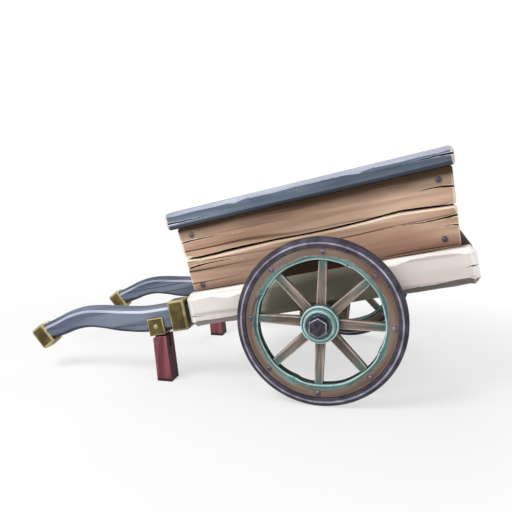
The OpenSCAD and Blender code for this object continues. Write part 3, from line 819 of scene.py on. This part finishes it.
# places where the bevel's lower edge runs, and how much further down the face it comes there
bevel_edge = [
    (-0.66, 0.002), (-0.55, 0.0), (-0.45, 0.003), (-0.39, 0.002), (-0.338, 0.012), (-0.315, 0.006),
    (-0.26, 0.0), (-0.14, 0.003), (-0.02, 0.0), (0.10, 0.003), (0.22, 0.003), (0.290, 0.013),
    (0.315, 0.006), (0.37, 0.0), (0.48, 0.002), (0.57, 0.0), (0.66, 0.003),
]


def rail_frame(s):
    """Frame of a cap rail: the side wall's frame, from the top edge of its planks."""
    return side_frame(s) @ Matrix.Translation((0, 0, side_h)) @ Matrix.Rotation(-side_rise, 4, "Y")


for side, s in SIDES.items():
    node = "cap_rail_" + side
    low, high = measure(node, rail_frame(s))
    rail = block("planed_" + node, low, high, blue_paint, blue_paint_rubbed_highlit, pale_end, blue_paint_shaded)
    outside = high.y - CLOSE
    # the planed bevel takes the pale finish, partly rubbed and partly painted highlight
    chamfer(rail, lambda ends: all(p.y > outside and p.z > high.z - CLOSE for p in ends), bevel_w, slot=1)
    under = low.z + CLOSE
    # the rounded lower outer corner is painted dark as shade
    chamfer(rail, lambda ends: all(p.y > outside and p.z < under for p in ends), underside_w, 3, slot=3)
    chamfer(
        rail, lambda ends: ends[0].x * ends[-1].x > 0 and all(abs(p.x) > box_front for p in ends),
        end_round, segments=3, slot=2,
    )
    paint(rail, pale_end, lambda at, normal: abs(normal.x) > 0.9)
    # the bottom face is painted dark as shade
    paint(rail, blue_paint_shaded, lambda at, normal: normal.z < -0.9)
    cut_across(rail, [x for x, drop in bevel_edge])
    for x, drop in bevel_edge:
        for vertex in rail.data.vertices:
            if abs(vertex.co.x - x) < CLOSE and vertex.co.y > outside and vertex.co.z > 0.05:
                vertex.co.z -= drop * WANDER[side]
    soften(rail, 0.003, angle=40, slot=1, keep=lambda ends: all(p.z > low.z + 0.03 for p in ends))
    split_ends(rail, low, high, high.y, rail_splits, 51 + s, 3, blue_paint_rubbed_highlit)
    settle(rail, rail_frame(s), "cart", "blue_paint", node)

# ---- End rails ----
# Shorter rails of the same painted timber cap the front wall and the tailboard. They are cut to fit between
# the side rails.

blue_across = timber(
    "blue_grey_paint_across", "6B7888", "85919F", "515C6B", "9CA6B6", "26272F", turn=ACROSS, **blue_look
)
blue_across_rubbed_highlit = timber(
    "blue_grey_paint_across_rubbed_highlit", "A2A8B8", "CDCFDB", "838B9D", "E0E0EA", "4A4A58", turn=ACROSS,
    **blue_look
)
for node in ("front_rail", "tail_rail"):
    rail = take(node, "planed_" + node, chassis, blue_across, blue_across_rubbed_highlit)
    soften(rail, 0.006, slot=1)
    settle(rail, chassis, "cart", "blue_paint", node)

# ---- Shafts ----
# Two sweeping shafts, sawn to the curve and spokeshaved round on their long corners, end in tenons in the
# beams. The blue-grey paint carries a pale painted highlight just below the top corners, and the undersides
# are painted dark as shade.

shaft_look = dict(streak_mm=60, line_mm=34, rough=0.55, gloss=0.35)
shaft_paint = timber(
    "blue_grey_shaft_paint", "636C7C", "768090", "525B69", "848D9C", "24272E", lines=1.0, tint="DEDFEA",
    **shaft_look
)
shaft_paint_highlight = timber(
    "blue_grey_shaft_paint_painted_highlight", "B4B8CC", "D2D4E4", "959DB2", "E4E4F0", "55586A", lines=0.2, **shaft_look
)
shaft_paint_shaded = timber(
    "blue_grey_shaft_paint_painted_shade", "2B2E36", "3B3F49", "1B1D22", "4C505C", "101114", lines=0.4, **shaft_look
)
shaft_round = 0.030
collar_back = -0.716
shaft_meshes = {}

for side, s in SIDES.items():
    node = "shaft_" + side
    low, high = measure(node, chassis @ across(s))
    finishes = (shaft_paint, shaft_paint_highlight, shaft_paint_shaded)
    shaft = take(node, "shaved_" + node, chassis @ across(s), *finishes)
    chamfer(
        shaft,
        lambda ends: (
            all(min(abs(p.y - low.y), abs(p.y - high.y)) < CLOSE for p in ends)
            and abs(ends[0].y - ends[1].y) < CLOSE
            and min(p.x for p in ends) < collar_back - 0.002
        ),
        shaft_round, segments=7,
    )
    # a pale painted highlight on the side faces just below the top corners
    paint(shaft, shaft_paint_highlight, lambda at, normal: 0.02 < normal.z < 0.46 and abs(normal.y) > 0.8)
    # the downward faces are painted dark as shade; the tenon inside the collar takes the same finish
    paint(shaft, shaft_paint_shaded, lambda at, normal: normal.z < -0.5 or at.x > collar_back - 0.001)
    shaft_meshes[side] = shaft.data.copy()
    settle(shaft, chassis @ across(s), "cart", "blue_paint", node)

# ---- Brass collars and caps ----
# A hammered brass collar binds each shaft where it enters its beam, and a cap closes each tip. The faces
# are tarnished olive-brown, and the wide rolled rims are pale, partly rubbed bright and partly painted
# highlight.

brass_look = dict(metallic=0.6, blotch_mm=70, hammer_mm=26, dent=0.25)
brass = metal("tarnished_brass", "5E522F", "73663E", "4A4025", "8F8152", "2A2212", 0.5, **brass_look)
brass_rim = metal("rubbed_highlit_brass", "A3946A", "C0B186", "80724C", "DCCFA4", "54461F", 0.4, **brass_look)
rim_w = 0.011
shaft_mid = (low.y + high.y) / 2
tip_angle = math.radians(28)
shaft_reach = 1.617
tip_z = 0.062
cap_l = 0.086
cap_half = (0.049, 0.062)


def shaft_bore(side):
    """The shaft's own shape as a tool, lined with brass."""
    tool = bpy.data.objects.new("bore", shaft_meshes[side].copy())
    bpy.context.scene.collection.objects.link(tool)
    dress(tool, brass)
    for face in tool.data.polygons:
        face.material_index = 0
    return tool


def crown(piece, keep, height):
    """Raises a flat face to a low point in its middle, as a hammer leaves it."""
    edit(piece, keep, lambda: bpy.ops.mesh.poke(offset=height), what="FACE")


cap_frame = Matrix.Translation((-shaft_reach, shaft_mid, tip_z)) @ Matrix.Rotation(-tip_angle, 4, "Y")
for side, s in SIDES.items():
    node = "shaft_collar_" + side
    low, high = measure(node, chassis @ across(s))
    collar = block("brass_" + node, low, high, brass, brass_rim)
    soften(collar, rim_w, segments=3, slot=1)
    crown(collar, lambda points: len(points) == 4 and all(p.y > high.y - CLOSE for p in points), 0.003)
    carve(collar, shaft_bore(side))
    settle(collar, chassis @ across(s), "cart", "brass", node, smooth=14)

    node = "shaft_cap_" + side
    cap = block(
        "brass_" + node, (0, -cap_half[0], -cap_half[1]), (cap_l, cap_half[0], cap_half[1]), brass,
        brass_rim,
    )
    soften(cap, rim_w + 0.002, segments=3, slot=1)
    crown(cap, lambda points: all(abs(p.y) > cap_half[0] - CLOSE for p in points), 0.0025)
    carry(cap, cap_frame)
    carve(cap, shaft_bore(side))
    settle(cap, chassis @ across(s), "cart", "brass", node, smooth=14)

# ---- Leg brackets ----
# A brass stirrup is clamped round each shaft by one domed rivet. A tongue below it is the hinge that the
# prop leg hangs on.

stirrup_foot = -0.008
stirrup_rivet_r = 0.013
stirrup_rivet_proud = 0.009
for side, s in SIDES.items():
    node = "leg_bracket_" + side
    low, high = measure(node, chassis @ across(s))
    stirrup = block("brass_" + node, (low.x, low.y, stirrup_foot), high, brass, brass_rim)
    soften(stirrup, 0.006, segments=3, slot=1)
    crown(stirrup, lambda points: all(p.y > high.y - CLOSE for p in points), -0.0015)
    carve(stirrup, shaft_bore(side))
    middle = (low + high) / 2
    place = (middle.x, high.y - 0.001, (stirrup_foot + high.z) / 2)
    head = nail(place, stirrup_rivet_r, stirrup_rivet_proud, 14)
    dress(head, brass_rim)
    tongue = take(node, "tongue", chassis @ across(s), brass, brass_rim)
    edit(
        tongue, anything,
        lambda: bpy.ops.mesh.bisect(
            plane_co=(0, 0, stirrup_foot + 0.002), plane_no=(0, 0, 1), clear_outer=True, use_fill=True
        ),
    )
    soften(tongue, 0.002, angle=50, slot=1)
    stirrup = join("brass_" + node, [stirrup, head, tongue])
    settle(stirrup, chassis @ across(s), "cart", "brass", node, smooth=14)

# ---- Prop legs ----
# Each leg is a square ash post in dark red paint, forked at the top over the bracket's tongue. Its corners
# are drawknifed to broad facets, and the foot is blackened and scuffed by the ground.

red_look = dict(turn=UPRIGHT, streak_mm=34, line_mm=26, rough=0.62)
red_paint = timber(
    "dark_red_paint", "85484F", "965860", "64343B", "A96E74", "241318", lines=0.5, **red_look
)
red_paint_rubbed_highlit = timber(
    "dark_red_paint_rubbed_highlit", "99636A", "AC777C", "7A474E", "BE8C8E", "3A2024", lines=0.3, **red_look
)
foot_black = timber("scuffed_foot", "2E2026", "413036", "1E1418", "5E464B", "140D10", lines=0.3, **red_look)
leg_facet = 0.009
foot_band = 0.014
leg_shade = timber(
    "dark_red_paint_painted_shade", "401D22", "50272D", "2B1216", "6A3C42", "1A0C0F", lines=0.4, **red_look
)

for side, s in SIDES.items():
    node = "prop_leg_" + side
    leg_frame = Matrix.Translation(joints["leg_" + side + "_fold"]["pos_m"]) @ across(s)
    leg = take(node, "facetted_" + node, leg_frame, red_paint, red_paint_rubbed_highlit, foot_black, leg_shade)
    low, high = measure(node, leg_frame)
    cut_across(leg, (low.z + foot_band,), (0, 0, 1))
    soften(leg, leg_facet, segments=1, slot=1, shortest=0.005, keep=lambda ends: (
        all(min(abs(p.y - low.y), abs(p.y - high.y)) < CLOSE for p in ends)
        and abs(ends[0].z - ends[1].z) > 0.005
    ))
    # the rear faces are painted darker as shade
    paint(leg, leg_shade, lambda at, normal: normal.x > 0.6)
    paint(leg, foot_black, lambda at, normal: at.z < low.z + foot_band)
    soften(leg, 0.0035, angle=28)
    settle(leg, leg_frame, "leg_" + side, "red_paint", node, smooth=12)

# ---- Leg pins ----
# A forged iron pin goes through each leg's fork and the bracket's tongue; its ends are peened over.

for side, s in SIDES.items():
    node = "leg_pin_" + side
    pin = take(node, "forged_" + node, chassis @ across(s), black_iron, bright_iron)
    soften(pin, 0.0015, angle=50, slot=1)
    settle(pin, chassis @ across(s), "leg_" + side, "black_iron", node)

# ---- Axle ----
# One forged bar, square between the beams and turned to journals at the ends. It lies in a grooved timber
# bed, and a block under each beam spreads the load. Iron keeper plates close the groove from below.

bar = take("axle", "forged_axle", chassis, black_iron, bright_iron)
soften(bar, 0.002, angle=50, slot=1)
settle(bar, chassis, "cart", "black_iron", "axle")

bed = take("axle_bed", "grooved_axle_bed", chassis, grey_wood_across, grey_wood_across_rubbed_highlit)
soften(bed, 0.005, slot=1)
settle(bed, chassis, "cart", "frame_wood", "axle_bed")

for side, s in SIDES.items():
    node = "axle_block_" + side
    cushion = take(node, "bolted_" + node, chassis @ across(s), grey_wood_across, grey_wood_across_rubbed_highlit)
    soften(cushion, 0.006, slot=1)
    settle(cushion, chassis @ across(s), "cart", "frame_wood", node)

bed_low, bed_high = measure("axle_bed", chassis)
keeper_half_w = 0.022
keeper_t = 0.006
keeper_corner = 0.0018
keepers = []
for y in (-0.33, -0.12, 0.12, 0.33):
    near = (bed_low.x + 0.004, y - keeper_half_w, bed_low.z - keeper_t)
    far = (bed_high.x - 0.004, y + keeper_half_w, bed_low.z)
    plate = block("keeper", near, far, black_iron, bright_iron)
    soften(plate, keeper_corner, slot=1)
    keepers.append(plate)
    for x in (bed_low.x + 0.018, bed_high.x - 0.018):
        place = (x, y, bed_low.z - keeper_t)
        bpy.ops.object.select_all(action="DESELECT")
        bpy.ops.mesh.primitive_cylinder_add(vertices=6, radius=0.010, depth=0.016, location=place)
        bolt = bpy.context.active_object
        bpy.ops.object.transform_apply(location=True)
        dress(bolt, black_iron, bright_iron)
        soften(bolt, keeper_corner, slot=1)
        keepers.append(bolt)
settle(join("keeper_plates", keepers), chassis, "cart", "black_iron", smooth=14)

# ---- Axle nuts ----
# A forged hexagon nut over a washer keeps each wheel on its journal. Its chamfer is bright, partly worn by
# spanners and partly painted highlight.

nut_iron = metal("forged_nut", "322F39", "403D48", "25232B", "6E6A78", "121115", 0.6, 0.3, blotch_mm=24)
nut_r = 0.047
washer_r = 0.051
washer_t = 0.005
nut_facet = 0.0045


def wheel_frame(s):
    """Frame of a wheel: its centre, with Y outward along the axle."""
    return Matrix.Translation((axle.x, -s * axle.y, axle.z)) @ across(s)


def off_axle(point):
    """Distance from the axle of a point in a wheel's frame."""
    return math.hypot(point.x, point.z)


def prism(sides, radius, inside, outside, *materials):
    """A cylinder primitive along the axle between two places, with a corner at the top."""
    bpy.ops.object.select_all(action="DESELECT")
    bpy.ops.mesh.primitive_cylinder_add(vertices=sides, radius=radius, depth=outside - inside)
    piece = bpy.context.active_object
    piece.data.transform(
        Matrix.Translation((0, (inside + outside) / 2, 0)) @ Matrix.Rotation(math.pi / 2, 4, "X")
    )
    dress(piece, *materials)
    return piece


for side, s in SIDES.items():
    node = "axle_nut_" + side
    low, high = measure(node, wheel_frame(s))
    nut = prism(6, nut_r, low.y + washer_t, high.y, nut_iron, bright_iron)
    chamfer(nut, lambda ends: all(p.y > high.y - CLOSE for p in ends), nut_facet, segments=2, slot=1)
    washer = prism(48, washer_r, low.y, low.y + washer_t, nut_iron, bright_iron)
    soften(washer, 0.0015, angle=40, slot=1)
    nut = join("hexagon_" + node, [nut, washer])
    settle(nut, wheel_frame(s), "cart", "black_iron", node, smooth=20)

# ---- Hubs ----
# Elm naves, turned in steps with a cup for the nut. The teal paint is pale on each turned edge, partly rubbed
# and partly painted highlight.

teal_look = dict(streak_mm=60, line_mm=26, lines=0.3, rough=0.55, gloss=0.35)
teal_paint = timber(
    "teal_paint", "567877", "6E9090", "3E5B5A", "9BBFBE", "1B302E", tint="DEE2E8", **teal_look
)
teal_paint_rubbed_highlit = timber(
    "teal_paint_rubbed_highlit", "9FC2C2", "BAD8D8", "769A9A", "D6ECEC", "34605A", **teal_look
)
for side, s in SIDES.items():
    node = "hub_" + side
    hub = take(node, "turned_" + node, wheel_frame(s), teal_paint, teal_paint_rubbed_highlit)
    soften(hub, 0.0016, angle=40, slot=1)
    # the chamfers between the turned faces are painted pale as highlight
    paint(hub, teal_paint_rubbed_highlit, lambda at, normal: 0.35 < abs(normal.y) < 0.93)
    settle(hub, wheel_frame(s), "wheel_" + side, "teal_paint", node, smooth=24)

# ---- Spokes ----
# Eight cleft oak spokes taper from hub to rim. They are weathered grey-green, pinkish on the corners,
# partly drawknifed and partly painted highlight, and smeared with the rim's teal paint at their outer ends.

spoke_look = dict(wheel_grain="spokes", streak_mm=22, line_mm=14, rough=0.75)
spoke_wood = timber(
    "weathered_oak_spokes", "776D64", "8C8279", "5A524B", "A89284", "24211E",
    lines=0.6, rim=("4B6966", None, 0.20, 0.31), **spoke_look
)
spoke_wood_rubbed_highlit = timber(
    "weathered_oak_spokes_rubbed_highlit", "A98E82", "BFA598", "867066", "D2BAAD", "4A3C36",
    lines=0.2, rim=("6B918E", None, 0.24, 0.31), **spoke_look
)
for side, s in SIDES.items():
    node = "spokes_" + side
    spokes = take(node, "cleft_" + node, wheel_frame(s), spoke_wood, spoke_wood_rubbed_highlit)
    soften(spokes, 0.006, angle=60, slot=1)
    settle(spokes, wheel_frame(s), "wheel_" + side, "frame_wood", node, smooth=14)

# ---- Felloes ----
# The wooden rim is four sawn arcs, dowelled end to end midway between spokes. The inner edge keeps a
# raised, ragged band of teal paint that is chipped at the joints; the rest is bare, reddish brown.

felloe_look = dict(wheel_grain="rim", streak_mm=34, line_mm=20, rough=0.75)
felloe_wood = timber(
    "bare_ash_felloe", "7F6E64", "908074", "6A5A50", "A89688", "2A1F18", lines=0.5, tint="E8D6CC",
    **felloe_look
)
teal_rim = timber(
    "teal_rim_paint", "51706E", "688B88", "38514F", "8FB6B3", "182A28", lines=0.3, wheel_grain="rim",
    streak_mm=34
)
teal_rim_rubbed_highlit = timber(
    "teal_rim_paint_rubbed_highlit", "94B8B7", "B6D6D4", "6C918E", "D0EAE8", "34605A", lines=0.2, wheel_grain="rim",
    streak_mm=34
)
rim_inner_shade = timber(
    "inner_rim_painted_shade", "2E3B39", "42524F", "1C2524", "5C7571", "0E1312", wheel_grain="rim", streak_mm=34
)
# how much deeper the teal band reaches where it is chipped at a joint
rim_chip = 0.009
spoke_n = 8
spoke_turn = math.radians(89)
joint_turn = spoke_turn - math.pi / spoke_n
joint_n = 4


def turned(name, profile, steps, *materials):
    """A ring: a closed outline of (radius, place along the axle) spun round the wheel's axis."""
    bpy.ops.object.select_all(action="DESELECT")
    bpy.ops.mesh.primitive_circle_add(vertices=len(profile), radius=1)
    ring = bpy.context.active_object
    ring.name = ring.data.name = name
    for vertex, (radius, out) in zip(ring.data.vertices, profile):
        vertex.co = (0, out, radius)
    edit(
        ring, anything,
        lambda: bpy.ops.mesh.spin(steps=steps, angle=2 * math.pi, center=(0, 0, 0), axis=(0, 1, 0)),
        lambda: bpy.ops.mesh.select_all(action="SELECT"),
        lambda: bpy.ops.mesh.remove_doubles(threshold=0.0001),
        lambda: bpy.ops.mesh.normals_make_consistent(inside=False),
    )
    dress(ring, *materials)
    return ring


def both_faces(half_profile):
    """Closes an outline that was drawn for the +Y half."""
    return half_profile + [(radius, -out) for radius, out in reversed(half_profile)]


def from_joint(angle):
    """Angle to the nearest joint between two arcs of the rim."""
    step = 2 * math.pi / joint_n
    return abs((angle - joint_turn + step / 2) % step - step / 2)


for side, s in SIDES.items():
    node = "felloe_" + side
    low, high = measure(node, wheel_frame(s))
    reaches = [off_axle(p) for p in measured(node, wheel_frame(s))]
    inner, outer = min(reaches), max(reaches)
    half = high.y
    band = inner + 0.020
    felloe = turned(
        "sawn_" + node,
        both_faces([
            (inner, half - 0.007), (inner + 0.002, half - 0.002), (inner + 0.0055, half),
            (band, half), (band + 0.0015, half - 0.002), (outer - 0.001, half - 0.002),
            (outer, half - 0.003),
        ]),
        144, felloe_wood, teal_rim, teal_rim_rubbed_highlit, rim_inner_shade,
    )
    paint(felloe, teal_rim, lambda at, normal: off_axle(at) < band + 0.0005)
    # the chamfer on the inner edge is painted pale as highlight over rubbed paint
    rub_highlight_edge = inner + 0.0048
    paint(felloe, teal_rim_rubbed_highlit, lambda at, normal: off_axle(at) < rub_highlight_edge and abs(at.y) > half - 0.006)
    # the inner face, towards the hub, is painted dark as shade
    paint(felloe, rim_inner_shade, lambda at, normal: off_axle(at) < inner + 0.001 and abs(at.y) < half - 0.006)
    rng = random.Random(71 + s)
    waves = [(rng.uniform(0.0008, 0.0022), rng.randint(3, 17), rng.uniform(0, 6)) for i in range(5)]
    for vertex in felloe.data.vertices:
        radius = off_axle(vertex.co)
        angle = math.atan2(vertex.co.z, vertex.co.x)
        near = max(0, 1 - from_joint(angle) / math.radians(6))
        shift = 0
        if abs(radius - band) < 0.003:
            shift = sum(size * math.sin(count * angle + start) for size, count, start in waves)
            shift += rim_chip * near
        elif radius < inner + 0.006:
            shift = 0.0022 * math.sin(
                4 * angle + waves[0][2]
            ) * math.sin(7 * angle + waves[1][2]) - 0.004 * near
        vertex.co.x *= (radius + shift) / radius
        vertex.co.z *= (radius + shift) / radius
    for number in range(joint_n):
        angle = joint_turn + number * 2 * math.pi / joint_n
        crack = wedge((inner - 0.008, half, 0), 1, 0.038, 0.006, 0.009, 0.001, 80 + number, split_wood)
        carry(crack, Matrix.Rotation(-angle, 4, "Y"))
        carve(felloe, crack)
    settle(felloe, wheel_frame(s), "wheel_" + side, "felloe_wood", node, smooth=24)

# ---- Felloe rivets ----
# An iron rivet at each spoke's end holds it in the rim. Both heads show, domed and worn bright.

rivet_iron = metal("rivet_iron", "6A6474", "8A8496", "4C4754", "B4AEC0", "2A2730", 0.42, 0.7, blotch_mm=14)
rivet_circle = 0.339
rivet_r = 0.0125
rivet_proud = 0.008
for side, s in SIDES.items():
    heads = []
    for number in range(spoke_n):
        angle = spoke_turn + number * 2 * math.pi / spoke_n
        for out in (-1, 1):
            place = (rivet_circle * math.cos(angle), out * (half - 0.002), rivet_circle * math.sin(angle))
            heads.append(nail(place, rivet_r, rivet_proud, 12))
    heads = join("rivet_heads_" + side, heads, rivet_iron)
    settle(heads, wheel_frame(s), "wheel_" + side, "black_iron")

# ---- Tyres ----
# A thick iron tyre is shrunk on each rim. A painted highlight runs round its outer shoulder; the flats
# are nearly black, and painted shade darkens where the iron meets the wood.

tyre_iron = metal(
    "rusted_tyre_iron", "393542", "484452", "2B2832", "5E5A68", "17151A", 0.6, 0.25, blotch_mm=60
)
tyre_highlight = metal(
    "tyre_iron_painted_highlight", "8F8A9C", "AFAABC", "726D7E", "CAC6D4", "3C3944", 0.45, 0.4, blotch_mm=60
)
tyre_gap_shade = metal(
    "tyre_iron_painted_shade", "1D1B20", "26242A", "131215", "34313A", "0B0A0C", 0.75, 0.2, blotch_mm=60
)
for side, s in SIDES.items():
    node = "tyre_" + side
    low, high = measure(node, wheel_frame(s))
    reaches = [off_axle(p) for p in measured(node, wheel_frame(s))]
    inner, outer = min(reaches), max(reaches)
    half = high.y
    line_in = outer - 0.029
    line_out = outer - 0.021
    lip_out = inner + 0.0075
    tyre = turned(
        "shrunk_" + node,
        both_faces([
            (inner, half - 0.009), (inner + 0.0015, half - 0.0035), (inner + 0.005, half - 0.0025),
            (lip_out, half - 0.003), (line_in - 0.003, half - 0.003), (line_in, half - 0.0004),
            (line_in + 0.002, half), (line_out, half - 0.0008), (outer - 0.012, half - 0.005),
            (outer - 0.004, half - 0.011), (outer, half - 0.020),
        ]),
        160, tyre_iron, tyre_highlight, tyre_gap_shade,
    )
    # a painted highlight ring round the outer shoulder
    paint(tyre, tyre_highlight, lambda at, normal: line_in - 0.001 < off_axle(at) < line_out)
    # the face that meets the wood is painted dark as shade
    paint(tyre, tyre_gap_shade, lambda at, normal: off_axle(at) < inner + 0.0012)
    rng = random.Random(91 + s)
    waves = [(rng.uniform(0.0002, 0.0005), rng.randint(5, 31), rng.uniform(0, 6)) for i in range(6)]
    for vertex in tyre.data.vertices:
        radius = off_axle(vertex.co)
        if radius > outer - 0.012:
            angle = math.atan2(vertex.co.z, vertex.co.x)
            worn = sum(size * (1 + math.sin(count * angle + start)) for size, count, start in waves)
            vertex.co.y -= math.copysign(worn, vertex.co.y) * 0.6
    settle(tyre, wheel_frame(s), "wheel_" + side, "tyre_iron", node, smooth=24)

# ---- Floor, light and camera ----
# A pale studio floor that fades to plain white away from the cart, and soft lamps. The camera is on the
# cart's left side, a little behind the axle, nearly as high as the rails.

bpy.ops.object.select_all(action="DESELECT")
bpy.ops.mesh.primitive_plane_add(size=80, location=(0, 0, 0))
floor = bpy.context.active_object
floor.name = "studio_floor"
floor.data.transform(Matrix.Translation((0, 0, -0.0006)))


def seen_white(tree):
    """1 where the camera looks, also by way of a shiny surface; 0 for the light that falls on the cart."""
    path = add(tree, "LightPath").outputs
    ways = {0: path["Is Camera Ray"], 1: path["Is Glossy Ray"]}
    return add(tree, "Math", ways, operation="MAXIMUM").outputs["Value"]


pale, tree, matt = new_material("studio_white")
matt.inputs["Base Color"].default_value = colour("F2F2F2")
matt.inputs["Roughness"].default_value = 0.95
glow = add(tree, "Emission", {"Strength": 1.0})
place = add(tree, "TexCoord").outputs["Object"]
away = add(tree, "VectorMath", {0: place}, operation="LENGTH").outputs["Value"]
away = add(
    tree, "MapRange", {"Value": away, "From Min": 1.3, "From Max": 2.7}, interpolation_type="SMOOTHSTEP"
).outputs["Result"]
# beside the cart too the camera sees most of the floor's own white, so that the shadow stays soft
away = add(tree, "MapRange", {"Value": away, "To Min": 0.62}).outputs["Result"]
away = add(tree, "Math", {0: away, 1: seen_white(tree)}, operation="MULTIPLY").outputs["Value"]
blend = add(tree, "MixShader", {0: away, 1: matt.outputs[0], 2: glow.outputs[0]}).outputs[0]
tree.links.new(blend, tree.nodes["Material Output"].inputs["Surface"])
dress(floor, pale)

world = bpy.data.worlds.new("studio")
bpy.context.scene.world = world
world.use_nodes = True
tree = world.node_tree
sky = tree.nodes["Background"]
bright = add(tree, "MapRange", {"Value": seen_white(tree), "To Min": 0.46, "To Max": 1.0}).outputs["Result"]
sky.inputs["Color"].default_value = (1, 1, 1, 1)
tree.links.new(bright, sky.inputs["Strength"])


def lamp(name, place, size, power):
    """A round soft lamp that looks at the cart's middle."""
    bpy.ops.object.light_add(type="AREA", location=place)
    made = bpy.context.active_object
    made.name = name
    made.data.shape = "DISK"
    made.data.size = size
    made.data.energy = power
    made.rotation_euler = (Vector((0, 0, 0.6)) - Vector(place)).to_track_quat("-Z", "Y").to_euler()


lamp("key_lamp", (-2.2, -3.4, 4.2), 2.4, 190)
lamp("fill_lamp", (3.6, -2.6, 2.2), 3.0, 30)
lamp("rim_lamp", (0.5, 3.6, 3.4), 2.5, 60)

# the camera's turn towards the shafts, and how far it looks down
azimuth = math.radians(13.689)
elevation = math.radians(8.339)
camera_place = (axle.x + 0.384, -3.5204, 1.144)
bpy.ops.object.camera_add(location=camera_place)
camera = bpy.context.active_object
towards = Vector((
    -math.sin(azimuth) * math.cos(elevation), math.cos(azimuth) * math.cos(elevation), -math.sin(elevation)
))
camera.rotation_euler = towards.to_track_quat("-Z", "Y").to_euler()
camera.data.sensor_width = 36
camera.data.lens = 44.113
bpy.context.scene.camera = camera
bpy.context.scene.view_settings.view_transform = "Standard"
